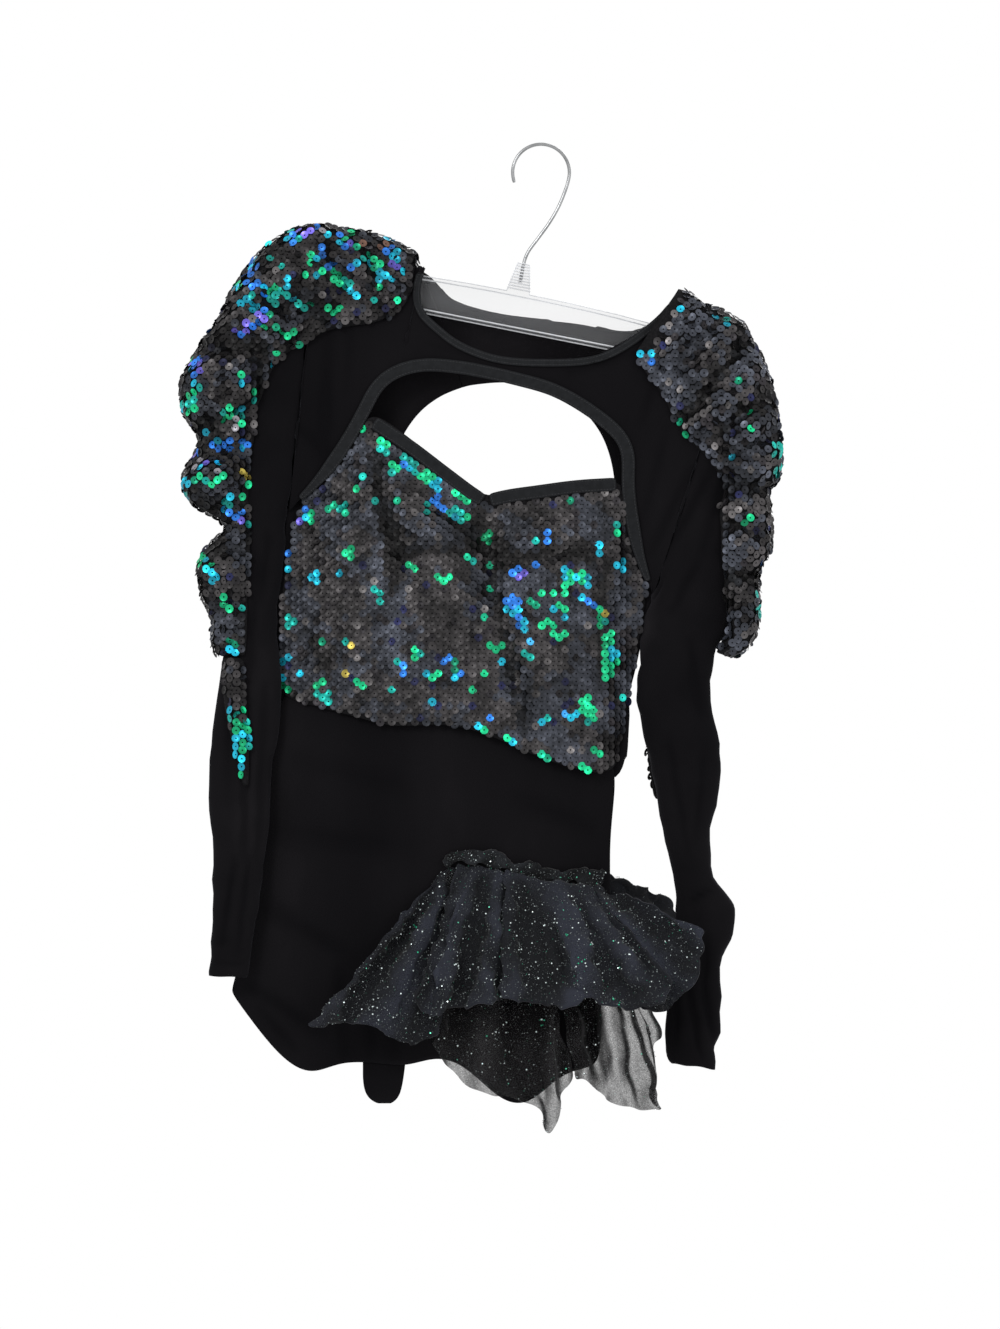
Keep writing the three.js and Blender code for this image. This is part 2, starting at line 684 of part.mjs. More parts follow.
function ruffle(rows, under) {
  const place = (r, share, side) => {
    const x = mix(r.innerX, r.outerX, share);
    const z = mix(r.innerZ, r.outerZ, share);
    const wall = SEQUIN_WALL + LIE;
    const seat = (surfaceAt(under[side], r.innerX, r.innerZ, side) ?? side * RUFFLE_EDGE) * side + wall;
    const crest = Math.max(side === FRONT ? r.front : r.back, seat);
    const rise = Math.sin((Math.PI / 2) * Math.min(1, share / RUFFLE_RISE));
    const fall = (1 - share ** RUFFLE_POWER) ** (1 / RUFFLE_POWER);
    const below = (surfaceAt(under[side], x, z, side) ?? 0) * side + wall;
    const y = Math.max(mix(seat, crest, rise) * fall, share < 1 ? below : 0);
    return point(x, side * y, z);
  };
  const grid = rows.map((r) => [
    ...RUFFLE_ACROSS.map((share) => place(r, share, FRONT)),
    point(r.outerX, 0, r.outerZ),
    ...RUFFLE_ACROSS.toReversed().map((share) => place(r, share, BACK)),
  ]);
  const middle = rows[rows.length >> 1];
  const outward = point(middle.outerX - middle.innerX, 0, middle.outerZ - middle.innerZ);
  return { grid, geometry: wallBetween(grid, inwards(grid, SEQUIN_WALL, outward)) };
}

const leftRuffle = ruffle(LEFT_RUFFLE, {
  [FRONT]: [frontYoke, leftSleeve.outside, frontNeck.grid],
  [BACK]: [backPanel, leftSleeve.outside, backNeck.grid],
});
const rightRuffle = ruffle(RIGHT_RUFFLE, {
  [FRONT]: [frontYoke, rightSleeve.outside, frontNeck.grid],
  [BACK]: [backPanel, rightSleeve.outside, backNeck.grid],
});
add("ruffle_left", leftRuffle.geometry, "sequins");
add("ruffle_right", rightRuffle.geometry, "sequins");

// Each ruffle runs out in a narrow tail on the sleeve, in front on the left and behind on the
// right.
const LEFT_TAIL = table("leftX leftZ rightX rightZ stand", [
  [-240, -384, -221, -384, 5],
  [-238, -400, -221, -400, 4.5],
  [-237, -419, -220, -419, 4],
  [-232, -442, -218, -442, 3.5],
  [-226, -463, -218, -463, 3],
  [-223, -479, -218, -479, 2],
]);
const RIGHT_TAIL = table("leftX leftZ rightX rightZ stand", [
  [112, -394, 128, -386, 4],
  [95, -420, 115, -417, 4],
  [79, -447, 104, -446, 4],
  [82, -470, 98, -470, 3.5],
  [85, -490, 92, -490, 2],
]);

const TAIL_CELLS = 3;
const TAIL_MARGIN = 4; // a tail clears the sleeve over this far around each of its points

function tail(rows, under, side) {
  const across = steps(TAIL_CELLS);
  const base = rows.map((r) =>
    across.map((u) => {
      const x = mix(r.leftX, r.rightX, u);
      const z = mix(r.leftZ, r.rightZ, u);
      const seats = [-TAIL_MARGIN, 0, TAIL_MARGIN].flatMap((d) => [
        surfaceAt(under, x + d, z, side) ?? 0,
        surfaceAt(under, x, z + d, side) ?? 0,
      ]);
      const seat = side * Math.max(...seats.map((y) => y * side));
      const stand = r.stand * Math.sin(Math.PI * u);
      return point(x, seat + side * (LIE + SEQUIN_WALL + stand), z);
    }),
  );
  const inside = base.map((row) => row.map((p) => p.clone().setY(p.y - side * SEQUIN_WALL)));
  return { grid: base, geometry: wallBetween(base, inside) };
}
add("ruffle_left_tail", tail(LEFT_TAIL, [leftSleeve.outside], FRONT).geometry, "sequins");
add("ruffle_right_tail", tail(RIGHT_TAIL, [rightSleeve.outside], BACK).geometry, "sequins");

// Bindings along the sweetheart edge, left and right of the notch, then round the keyhole.
const LEFT_SWEETHEART = table("x z", [[-125, -208], [-98, -226], [-73, -245], [-53, -260], [-44, -266]]);
const RIGHT_SWEETHEART = table("x z", [[-38, -266], [-25, -263], [-4, -260], [26, -256], [56, -254]]);
const half = BINDING_WIDTH / 2;
const sample = (rows, count) => steps(count).map((u) => line(rows).getPointAt(u));

const SWEETHEART_STEPS = 10;
const leftSweetheart = binding(sample(LEFT_SWEETHEART, SWEETHEART_STEPS), half, half, [bodice], FRONT);
const rightSweetheart = binding(sample(RIGHT_SWEETHEART, SWEETHEART_STEPS), half, half, [bodice], FRONT);
add("sweetheart_binding_left", leftSweetheart.geometry, "binding");
add("sweetheart_binding_right", rightSweetheart.geometry, "binding");

const KEYHOLE_STEPS = 34;
const KEYHOLE_END = 0.012; // share of the edge left bare at each underarm
const KEYHOLE_NARROWS = 0.45; // share of the width with which the binding ends there
const keyholeUnder = [frontYoke, bodice, leftSweetheart.grid, rightSweetheart.grid];
const keyholeBinding = binding(
  steps(KEYHOLE_STEPS).map((u) => keyholePoint(mix(KEYHOLE_END, 1 - KEYHOLE_END, u))),
  half,
  half,
  keyholeUnder,
  FRONT,
  BINDING_WALL,
  KEYHOLE_NARROWS,
);
add("keyhole_binding", keyholeBinding.geometry, "binding");

// The bustle: a gathered heading across the left hip, and layers of tulle that hang from it,
// each with its top line, its hem, how many layers lie under it and how far its hem stands out.
const HEADING = table("x z", [
  [-71, -536],
  [-62, -531],
  [-47, -532],
  [-32, -537],
  [-14, -542],
  [5, -545],
  [26, -548],
  [46, -548],
]);
const HEADING_HALF = 4.5;
const HEADING_WALL = 3;
const HEADING_STEPS = 20;

const heading = binding(
  sample(HEADING, HEADING_STEPS),
  HEADING_HALF,
  HEADING_HALF,
  [bodyFront],
  FRONT,
  HEADING_WALL,
);
add("bustle_heading", heading.geometry, "tulle");

// A place along straight lines from row to row, by length.
function along(rows, u) {
  const lengths = rows.map((r, i) => (i ? Math.hypot(r.x - rows[i - 1].x, r.z - rows[i - 1].z) : 0));
  let left = u * lengths.reduce((a, b) => a + b, 0);
  let i = 1;
  while (i < rows.length - 1 && left > lengths[i]) {
    left -= lengths[i];
    i += 1;
  }
  const share = lengths[i] ? Math.min(1, left / lengths[i]) : 0;
  return point(mix(rows[i - 1].x, rows[i].x, share), 0, mix(rows[i - 1].z, rows[i].z, share));
}

const TULLE_ROWS = 5;
const TULLE_COLUMNS = 18;

function tulle(cut) {
  const { top, hem, layer, stand, waves, swing } = cut;
  const { side = FRONT, under = bodyFront, columns = TULLE_COLUMNS } = cut;
  const grid = steps(TULLE_ROWS).map((v) =>
    steps(columns).map((u) => {
      const start = along(top, u);
      const end = along(hem, u);
      const seat = surfaceAt([under], start.x, start.z, side) ?? side * (SEAM / 2 + VELVET_WALL);
      const lies = side * (layer + 1) * (LAYER_GAP + TULLE_WALL);
      const wave = swing * v * Math.sin(2 * Math.PI * waves * u);
      const p = start.clone().lerp(end, v);
      p.y = mix(seat + lies, side * stand, v) + side * wave;
      return p;
    }),
  );
  return wallBetween(grid, grid.map((row) => row.map((p) => p.clone().setY(p.y - side * TULLE_WALL))));
}

add(
  "bustle_under_left",
  tulle({
    top: table("x z", [[-71, -544], [-46, -542], [-1, -553]]),
    hem: table("x z", [
      [-83, -650],
      [-81, -673],
      [-70, -688],
      [-52, -706],
      [-37, -709],
      [-6, -715],
      [6, -742],
      [12, -722],
      [20, -694],
    ]),
    layer: 0,
    stand: 36,
    waves: 3,
    swing: 3,
  }),
  "tulle",
);
add(
  "bustle_under_right",
  tulle({
    top: table("x z", [[2, -554], [46, -555]]),
    hem: table("x z", [
      [24, -700],
      [32, -695],
      [44, -710],
      [58, -718],
      [90, -722],
      [86, -697],
      [82, -672],
      [92, -668],
    ]),
    layer: 0,
    stand: 34,
    waves: 3,
    swing: 3,
  }),
  "tulle",
);
add(
  "bustle_left",
  tulle({
    top: table("x z", [[-75, -544], [-67, -541], [-49, -538]]),
    hem: table("x z", [
      [-172, -660],
      [-158, -657],
      [-141, -656],
      [-124, -657],
      [-110, -666],
      [-95, -672],
      [-76, -663],
    ]),
    layer: 1,
    stand: 48,
    waves: 3,
    swing: 4,
  }),
  "tulle",
);
add(
  "bustle_side",
  tulle({
    top: table("x z", [[14, -555], [43, -555]]),
    hem: table("x z", [[74, -645], [94, -644], [112, -628], [118, -607], [122, -584]]),
    layer: 1,
    stand: 48,
    waves: 2,
    swing: 3,
  }),
  "tulle",
);
add(
  "bustle_centre",
  tulle({
    top: table("x z", [[-64, -538], [-46, -538], [-25, -546]]),
    hem: table("x z", [
      [-92, -629],
      [-89, -645],
      [-83, -652],
      [-67, -643],
      [-50, -643],
      [-31, -639],
      [-22, -634],
    ]),
    layer: 2,
    stand: 62,
    waves: 3,
    swing: 5,
  }),
  "tulle",
);
add(
  "bustle_right",
  tulle({
    top: table("x z", [[-28, -544], [-1, -550], [35, -554]]),
    hem: table("x z", [
      [-30, -636],
      [-7, -639],
      [14, -643],
      [40, -638],
      [62, -646],
      [80, -642],
      [92, -640],
      [97, -622],
    ]),
    layer: 3,
    stand: 66,
    waves: 4,
    swing: 5,
  }),
  "tulle",
);
add(
  "bustle_back",
  tulle({
    top: table("x z", [[50, -544], [14, -542], [-31, -537], [-76, -534]]),
    hem: table("x z", [[98, -567], [112, -603], [74, -640], [14, -648], [-46, -640], [-91, -629]]),
    layer: 0,
    stand: 44,
    side: BACK,
    under: bodyBack,
    waves: 5,
    swing: 5,
    columns: 24,
  }),
  "tulle",
);

// The hanger is one clear moulding: an I-section bar whose arms droop a little, with a ribbed
// boss that the wire hook turns in.
const HANGER = {
  halfLength: 152,
  flange: 3,
  flangeDepth: 9,
  web: 2,
  halfHeight: 14.5,
  endHalfHeight: 9,
  droop: 4,
  tilt: 0.195,
};
const BOSS = {
  height: 23,
  sunk: 1, // how far its foot is sunk in the bar
  topRadius: 4.6,
  baseRadius: 9,
  depth: 9,
  socketRadius: 1.8,
  socketDepth: 15,
};
const BOSS_FOOT = HANGER.halfHeight - BOSS.sunk;
const WIRE_RADIUS = 1.4;
const BAR_STEPS = 16;

const wasm = await Module();
wasm.setup();

function solid(geometry) {
  const bare = geometry.clone();
  bare.deleteAttribute("normal");
  bare.deleteAttribute("uv");
  const merged = mergeVertices(bare, 1e-4);
  return new wasm.Manifold(
    new wasm.Mesh({
      numProp: 3,
      vertProperties: new Float32Array(merged.attributes.position.array),
      triVerts: new Uint32Array(merged.index.array),
    }),
  );
}

function geometryOf(made) {
  const mesh = made.getMesh();
  const geometry = new THREE.BufferGeometry();
  geometry.setAttribute("position", new THREE.BufferAttribute(mesh.vertProperties, 3));
  geometry.setIndex(new THREE.BufferAttribute(mesh.triVerts, 1));
  return geometry;
}

// Half the bar's height and the height of its middle, from the boss out to the end of an arm.
function barAt(share) {
  const end = Math.abs(share) ** 3;
  return {
    x: share * HANGER.halfLength,
    half: mix(HANGER.halfHeight, HANGER.endHalfHeight, end),
    middle: -HANGER.droop * share * share,
  };
}

// A plate in the bar's plane between two lines along it, each given as a height for a place.
function plate(lower, upper, depth) {
  const shares = steps(BAR_STEPS).map((u) => 2 * u - 1);
  const shape = new THREE.Shape([
    ...shares.map((s) => new THREE.Vector2(barAt(s).x, lower(barAt(s)))),
    ...shares.toReversed().map((s) => new THREE.Vector2(barAt(s).x, upper(barAt(s)))),
  ]);
  const geometry = new THREE.ExtrudeGeometry(shape, { depth, bevelEnabled: false, steps: 1 });
  geometry.translate(0, 0, -depth / 2);
  geometry.rotateX(Math.PI / 2);
  return solid(geometry);
}

function boss() {
  const outline = new THREE.Shape([
    new THREE.Vector2(-BOSS.baseRadius, 0),
    new THREE.Vector2(BOSS.baseRadius, 0),
    new THREE.Vector2(BOSS.topRadius, BOSS.height),
    new THREE.Vector2(-BOSS.topRadius, BOSS.height),
  ]);
  const block = new THREE.ExtrudeGeometry(outline, { depth: BOSS.depth, bevelEnabled: false });
  block.translate(0, BOSS_FOOT, -BOSS.depth / 2);
  block.rotateX(Math.PI / 2);
  const socket = new THREE.CylinderGeometry(BOSS.socketRadius, BOSS.socketRadius, 2 * BOSS.socketDepth, 16);
  socket.rotateX(Math.PI / 2);
  socket.translate(0, 0, BOSS_FOOT + BOSS.height);
  return { block: solid(block), socket: solid(socket) };
}

const { block, socket } = boss();
const bar = plate((b) => b.middle - b.half, (b) => b.middle + b.half, HANGER.web)
  .add(plate((b) => b.middle + b.half - HANGER.flange, (b) => b.middle + b.half, HANGER.flangeDepth))
  .add(plate((b) => b.middle - b.half, (b) => b.middle - b.half + HANGER.flange, HANGER.flangeDepth))
  .add(block)
  .subtract(socket);
const hangerBar = add("hanger_bar", geometryOf(bar), "plastic");
hangerBar.rotation.y = HANGER.tilt;
[hangerBar.position.x, hangerBar.position.z] = [-20, -124];
hangerBar.updateMatrixWorld();

// The hook: up out of the boss, across in a long bend, and over in a round curl whose inside
// top is the origin.
const CURL_RADIUS = 20;
const HOOK_BEND = table("x z", [[-10, -80], [-2, -69], [6, -58], [13, -46], [18, -34]]);
const STEM_PLACES = [-14, -7, 1]; // heights of the wire's straight stem above the boss's top
const stem = STEM_PLACES.map((up) =>
  hangerBar.localToWorld(point(0, 0, BOSS_FOOT + BOSS.height + up)),
);
const CURL_START = -0.3; // radians round the curl, from its right
const CURL_END = 3.5;
const CURL_STEPS = 14;
const WIRE_STEPS = 44;
const curl = steps(CURL_STEPS).map((u) => {
  const a = mix(CURL_START, CURL_END, u);
  const r = CURL_RADIUS + WIRE_RADIUS;
  return point(r * Math.cos(a), 0, r * Math.sin(a) - CURL_RADIUS);
});
const hookPath = new THREE.CatmullRomCurve3(
  [...stem, ...HOOK_BEND.map((r) => point(r.x, 0, r.z)), ...curl],
  false,
  "centripetal",
);
const wireSection = new THREE.Shape().absarc(0, 0, WIRE_RADIUS, 0, 2 * Math.PI);
add(
  "hanger_hook",
  new THREE.ExtrudeGeometry(wireSection, { extrudePath: hookPath, steps: WIRE_STEPS, curveSegments: 4 }),
  "wire",
);

export default costume;
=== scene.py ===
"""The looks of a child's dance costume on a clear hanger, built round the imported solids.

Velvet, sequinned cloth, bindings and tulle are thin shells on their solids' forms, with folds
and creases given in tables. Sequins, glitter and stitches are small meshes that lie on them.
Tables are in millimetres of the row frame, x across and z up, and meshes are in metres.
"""

import math
import random
from functools import partial
from itertools import product

import bmesh
import bpy
import numpy as np
from mathutils import Matrix, Vector, noise
from mathutils.bvhtree import BVHTree
from mathutils.kdtree import KDTree


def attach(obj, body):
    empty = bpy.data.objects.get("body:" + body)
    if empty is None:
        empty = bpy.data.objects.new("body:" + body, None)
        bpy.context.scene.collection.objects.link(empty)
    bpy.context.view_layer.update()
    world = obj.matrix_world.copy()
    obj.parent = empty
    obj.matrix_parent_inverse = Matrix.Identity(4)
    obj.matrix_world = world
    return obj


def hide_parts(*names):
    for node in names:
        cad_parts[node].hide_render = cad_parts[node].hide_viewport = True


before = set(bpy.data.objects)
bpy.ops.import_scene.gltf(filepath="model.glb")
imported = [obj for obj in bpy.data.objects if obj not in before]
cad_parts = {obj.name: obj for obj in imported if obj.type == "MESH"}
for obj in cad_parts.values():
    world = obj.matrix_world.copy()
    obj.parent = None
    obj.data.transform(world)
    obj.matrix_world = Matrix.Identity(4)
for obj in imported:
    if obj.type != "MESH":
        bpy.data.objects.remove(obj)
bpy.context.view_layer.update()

MM = 0.001
PHOTO_HEIGHT_MM = 996.75  # what the photograph's frame spans at the costume
VIEW_CENTRE = (-30.75, -388.9)
CAMERA_DISTANCE = 5.0
SENSOR = 36.0
FLOOR_Z = -1.0
FLOOR_RADIUS = 0.6
WELD = 1e-5  # points nearer than this are one point

FRONT = Vector((0, -1, 0))
BACK = Vector((0, 1, 0))


def rows(columns, *values):
    """A short table: each row becomes a dictionary with the named columns."""
    return [dict(zip(columns.split(), row)) for row in values]


crease_rows = partial(rows, "x1 z1 x2 z2 width depth")
# a zone's shade multiplies its sequins' tint, painted shade where it is below 1; its kind is their own
# colour
zone_rows = partial(rows, "x1 z1 x2 z2 radius shade kind")
cluster_rows = partial(rows, "x1 z1 x2 z2 radius share tints")


# Materials


def new_material(name):
    material = bpy.data.materials.new(name)
    material.use_nodes = True
    tree = material.node_tree
    return material, tree, tree.nodes["Principled BSDF"]


def set_sockets(made, **values):
    """Sets a node's values: each socket by its name, with _ for a space."""
    for name, value in values.items():
        made.inputs[name.replace("_", " ")].default_value = value


def node(tree, kind, **settings):
    made = tree.nodes.new(kind)
    for name, value in settings.items():
        setattr(made, name, value)
    return made


def noise_texture(tree, scale, detail=3.0, stretch=(1, 1, 1)):
    """Noise in the object's own space, in features of about 1/scale metres."""
    place = node(tree, "ShaderNodeTexCoord")
    mapping = node(tree, "ShaderNodeMapping")
    set_sockets(mapping, Scale=stretch)
    texture = node(tree, "ShaderNodeTexNoise")
    set_sockets(texture, Scale=scale, Detail=detail)
    tree.links.new(place.outputs["Object"], mapping.inputs["Vector"])
    tree.links.new(mapping.outputs["Vector"], texture.inputs["Vector"])
    return texture.outputs["Fac"]


def ramp(tree, source, *stops):
    """Colours by a value: each stop is a place from 0 to 1 and its colour."""
    made = node(tree, "ShaderNodeValToRGB")
    elements = made.color_ramp.elements
    while len(elements) < len(stops):
        elements.new(0.5)
    for element, (place, colour) in zip(elements, stops):
        element.position = place
        element.color = (*colour, 1)
    tree.links.new(source, made.inputs["Fac"])
    return made.outputs["Color"]


def coloured(tree, shader, source, *stops):
    tree.links.new(ramp(tree, source, *stops), shader.inputs["Base Color"])


def bump(tree, shader, source, depth, strength):
    made = node(tree, "ShaderNodeBump")
    set_sockets(made, Strength=strength, Distance=depth)
    tree.links.new(source, made.inputs["Height"])
    tree.links.new(made.outputs["Normal"], shader.inputs["Normal"])


def calculated(tree, operation, *values, clamp=False):
    """A Math node on some values, each a socket or a number."""
    made = node(tree, "ShaderNodeMath", operation=operation, use_clamp=clamp)
    for socket, value in zip(made.inputs, values):
        if isinstance(value, (int, float)):
            socket.default_value = value
        else:
            tree.links.new(value, socket)
    return made.outputs["Value"]


def fold_values(tree):
    """What a shell's points know of its folds: how high they lie, and how steeply."""
    stored = node(tree, "ShaderNodeVertexColor", layer_name="fold")
    apart = node(tree, "ShaderNodeSeparateColor")
    tree.links.new(stored.outputs["Color"], apart.inputs["Color"])
    return apart.outputs["Red"], apart.outputs["Green"]


def painted_fold_light(tree, texture, gain):
    """A texture's value with painted light and shade: raised on ridges and lowered in troughs."""
    height, _ = fold_values(tree)
    lift = calculated(tree, "MULTIPLY_ADD", height, gain, -0.5 * gain)
    return calculated(tree, "ADD", texture, lift, clamp=True)


def plain_material(name, pattern, stops, relief=None, gain=0, **sockets):
    """Colours by noise, and a fine relief. pattern is the noise's scale, detail and stretch, relief
    is its own scale, detail, depth and strength, and gain is how much painted light and shade folds give
    the colours."""
    material, tree, shader = new_material(name)
    level = noise_texture(tree, *pattern)
    if gain:
        level = painted_fold_light(tree, level, gain)
    coloured(tree, shader, level, *stops)
    set_sockets(shader, **sockets)
    if relief:
        scale, detail, depth, strength = relief
        bump(tree, shader, noise_texture(tree, scale, detail), depth, strength)
    return material


def tinted_material(name, roughness, metallic, grain, shade=0.62):
    """A small thing whose colour is its own tint, darkened in patches to that shade."""
    material, tree, shader = new_material(name)
    tint = node(tree, "ShaderNodeVertexColor", layer_name="tint")
    mixed = node(tree, "ShaderNodeMix", data_type="RGBA", blend_type="MULTIPLY")
    set_sockets(mixed, Factor=1)
    patches = ramp(tree, noise_texture(tree, grain, 2), (0.3, (shade,) * 3), (0.7, (1, 1, 1)))
    tree.links.new(tint.outputs["Color"], mixed.inputs["A"])
    tree.links.new(patches, mixed.inputs["B"])
    tree.links.new(mixed.outputs["Result"], shader.inputs["Base Color"])
    set_sockets(shader, Roughness=roughness, Metallic=metallic)
    return material


NET_THREAD = 0.08  # how far from the middle of a thread it ends
NET_HOLE = 0.3  # how far from there a hole is wholly open
STEEP_COVER = 0.9  # how much more a layer covers where it turns edge on
NET_GRAIN = (0.9, -0.22)  # how much lighter than its threads a hole looks, and than the mean


def tulle_material(name, net_scale, thread, hole, dark, light, gain):
    """Net whose threads and holes let different shares of light through, that looks denser where it
    turns away in its folds, and whose colour has painted light on ridges and painted shade in troughs."""
    material, tree, shader = new_material(name)
    place = node(tree, "ShaderNodeTexCoord")
    net = node(tree, "ShaderNodeTexVoronoi", feature="DISTANCE_TO_EDGE")
    set_sockets(net, Scale=net_scale)
    tree.links.new(place.outputs["Object"], net.inputs["Vector"])
    cover = node(tree, "ShaderNodeMapRange")
    set_sockets(cover, From_Min=NET_THREAD, From_Max=NET_HOLE, To_Min=thread, To_Max=hole)
    tree.links.new(net.outputs["Distance"], cover.inputs["Value"])
    _, steep = fold_values(tree)
    turned_away = calculated(tree, "MULTIPLY", steep, STEEP_COVER)
    alpha = calculated(tree, "ADD", cover.outputs["Result"], turned_away, clamp=True)
    tree.links.new(alpha, shader.inputs["Alpha"])
    grain = calculated(tree, "MULTIPLY_ADD", net.outputs["Distance"], *NET_GRAIN)
    # painted light on the folds' ridges and painted shade in their troughs
    lit = painted_fold_light(tree, noise_texture(tree, 16), gain)
    level = calculated(tree, "ADD", lit, grain, clamp=True)
    middle = tuple(math.sqrt(a * b) for a, b in zip(dark, light))
    coloured(tree, shader, level, (0.15, dark), (0.5, middle), (0.9, light))
    set_sockets(shader, Roughness=0.8, Specular_IOR_Level=0.12, Sheen_Weight=0.06, Sheen_Roughness=0.4)
    bump(tree, shader, noise_texture(tree, 1500, 2), 0.0004, 0.7)
    return material


CLEAR_CAST = (1, 1.02, 1.06)  # clear plastic looks a little blue


def plastic_material(name, dark, light, alpha):
    """Clear moulded plastic: how much of it shows depends on the face, so each has its own. Its
    edges, flanges and boss are lighter and more opaque than the web: painted reflection and refraction.
    """
    low, high = (tuple(level * c for c in CLEAR_CAST) for level in (dark, light))
    return plain_material(
        name, (45, 3, (0.3, 1, 1)), ((0.3, low), (0.7, high)), (60, 2, 0.0006, 0.15),
        Roughness=0.08, IOR=1.46, Alpha=alpha,
    )


# Painted light and shade: the velvet's colour is lighter on the folds' ridges and darker in their troughs.
VELVET = plain_material(
    "black_velvet", (9, 4, (1, 1, 0.35)),
    ((0.25, (0.0026, 0.0024, 0.003)), (0.6, (0.005, 0.0046, 0.0054)), (0.95, (0.0115, 0.0105, 0.012))),
    (1600, 2, 0.0003, 0.5), 2.5, Roughness=0.95, Specular_IOR_Level=0.05,
    Sheen_Weight=0.05, Sheen_Roughness=0.45, Sheen_Tint=(0.55, 0.55, 0.65, 1),
)
BINDING = plain_material(
    "folded_binding", (260,), ((0.3, (0.0042, 0.0047, 0.0057)), (0.7, (0.008, 0.0088, 0.0103))),
    (2200, 2, 0.0002, 0.6), Roughness=0.7, Specular_IOR_Level=0.12, Sheen_Weight=0.06, Sheen_Roughness=0.5,
)
BACKING = plain_material(
    "sequin_backing", (700,), ((0.35, (0.004, 0.004, 0.0045)), (0.7, (0.009, 0.0085, 0.0095))),
    (700, 3, 0.0004, 0.5), Roughness=0.9, Specular_IOR_Level=0.1,
)
WIRE = plain_material(
    "plated_wire", (120, 1), ((0.3, (0.24, 0.245, 0.25)), (0.7, (0.36, 0.365, 0.37))),
    Roughness=0.28, Metallic=1.0,
)
PALE_FLOOR = plain_material(
    "pale_floor", (6,), ((0.3, (0.86, 0.86, 0.86)), (0.7, (0.9, 0.9, 0.9))),
    Roughness=0.9, Specular_IOR_Level=0.1,
)
CHARCOAL_SEQUIN = tinted_material("charcoal_sequin", 0.45, 0.7, 900, 0.75)
BRIGHT_SEQUIN = tinted_material("iridescent_sequin", 0.38, 0.75, 500, 0.8)
GLITTER = tinted_material("glitter", 0.35, 0.8, 900)
THREAD = tinted_material("thread", 0.8, 0.0, 900)
# Each tulle's last number is the gain of its painted fold light and shade.
DENSE_TULLE = tulle_material(
    "dense_tulle", 700, 0.97, 0.8, (0.006, 0.0064, 0.0078), (0.023, 0.0255, 0.036), 1.3
)
HEADING_TULLE = tulle_material(
    "heading_tulle", 700, 0.98, 0.9, (0.003, 0.0032, 0.0036), (0.013, 0.0145, 0.017), 1.6
)
SHEER_TULLE = tulle_material(
    "sheer_tulle", 900, 0.5, 0.2, (0.008, 0.0078, 0.0082), (0.034, 0.0335, 0.035), 0.9
)
# Copies of one clear plastic: painted reflection and refraction make the edges, flanges and boss lighter
# and more opaque than the web.
CLEAR_WEB = plastic_material("clear_web", 0.3, 0.4, 0.1)
CLEAR_FLANGE = plastic_material("clear_flange", 0.32, 0.44, 0.4)
CLEAR_EDGE = plastic_material("clear_edge", 0.5, 0.75, 0.8)
CLEAR_BOSS = plastic_material("clear_boss", 0.4, 0.55, 0.4)


# Shells on the solids' forms

# Each kind of cloth: what its pieces' names end with, its slot, its solid's wall and its material
VELVET_CLOTH = dict(ending="velvet", slot="velvet", wall=1.2, material=VELVET)
FOLDED_BINDING = dict(ending="folded", slot="binding", wall=1.0, material=BINDING)
SEQUIN_CLOTH = dict(ending="cloth", slot="sequins", wall=1.4, material=BACKING)
DENSE_NET = dict(ending="tulle", slot="tulle", wall=1.0, material=DENSE_TULLE)
SHEER_NET = DENSE_NET | dict(material=SHEER_TULLE)
HEADING_NET = DENSE_NET | dict(wall=3.0, material=HEADING_TULLE)

SLEEVE_THICKNESS = 0.5  # the sleeves fold too tightly for their solid's wall
THROUGH_WALL = 1.02  # a side no longer than this many walls runs through the wall
# Cloth with faces narrower than its wall: there the cut edges also turn at least this far
NARROW_PLACES = {"front_yoke": math.radians(45)}
CLOTH_TURN = math.radians(60)  # two triangles of cloth that turn less become one quad


def is_cut(face, through, turn):
    """Whether a face lies in the cloth's cut edge: one of its sides runs through the wall."""
    if min(e.calc_length() for e in face.edges) >= through:
        return False
    beside = [e for e in face.edges if e.is_manifold and e.calc_length() >= through]
    return turn == 0 or any(e.calc_face_angle() > turn for e in beside)


def joined_quads(bm, turn):
    bmesh.ops.join_triangles(bm, faces=bm.faces, angle_face_threshold=turn, angle_shape_threshold=turn)


def outer_side(name, wall):
    """The outer side of a cloth wall, as an open mesh of quads in metres."""
    bm = bmesh.new()
    bm.from_mesh(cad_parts[name].data)
    bmesh.ops.remove_doubles(bm, verts=bm.verts, dist=WELD)
    bm.normal_update()
    through = THROUGH_WALL * wall * MM
    turn = NARROW_PLACES.get(name, 0)
    cut = {f for f in bm.faces if is_cut(f, through, turn)}
    found = parts_of(set(bm.faces) - cut)
    most = max(len(faces) for faces in found)
    outer = max((faces for faces in found if len(faces) > most / 2), key=mean_reach)
    corners = {v for face in outer for v in face.verts}
    keep = set(outer) | {face for face in cut if corners.issuperset(face.verts)}
    bmesh.ops.delete(bm, geom=[f for f in bm.faces if f not in keep], context="FACES")
    joined_quads(bm, CLOTH_TURN)
    return bm


def parts_of(left):
    """The connected parts of a set of faces, which is used up."""
    found = []
    while left:
        part = [left.pop()]
        for face in part:
            for other in (f for edge in face.edges for f in edge.link_faces):
                if other in left:
                    left.remove(other)
                    part.append(other)
        found.append(part)
    return found


def mean_reach(faces):
    """How far a part stands out to the front and back, by area."""
    area = sum(f.calc_area() for f in faces)
    return sum(f.calc_area() * abs(f.calc_center_median().y) for f in faces) / area


def evaluated(obj):
    bpy.context.view_layer.update()
    return obj.evaluated_get(bpy.context.evaluated_depsgraph_get())


def applied(obj):
    """Makes the object's modifiers part of its mesh."""
    mesh = bpy.data.meshes.new_from_object(evaluated(obj))
    obj.modifiers.clear()
    obj.data = mesh


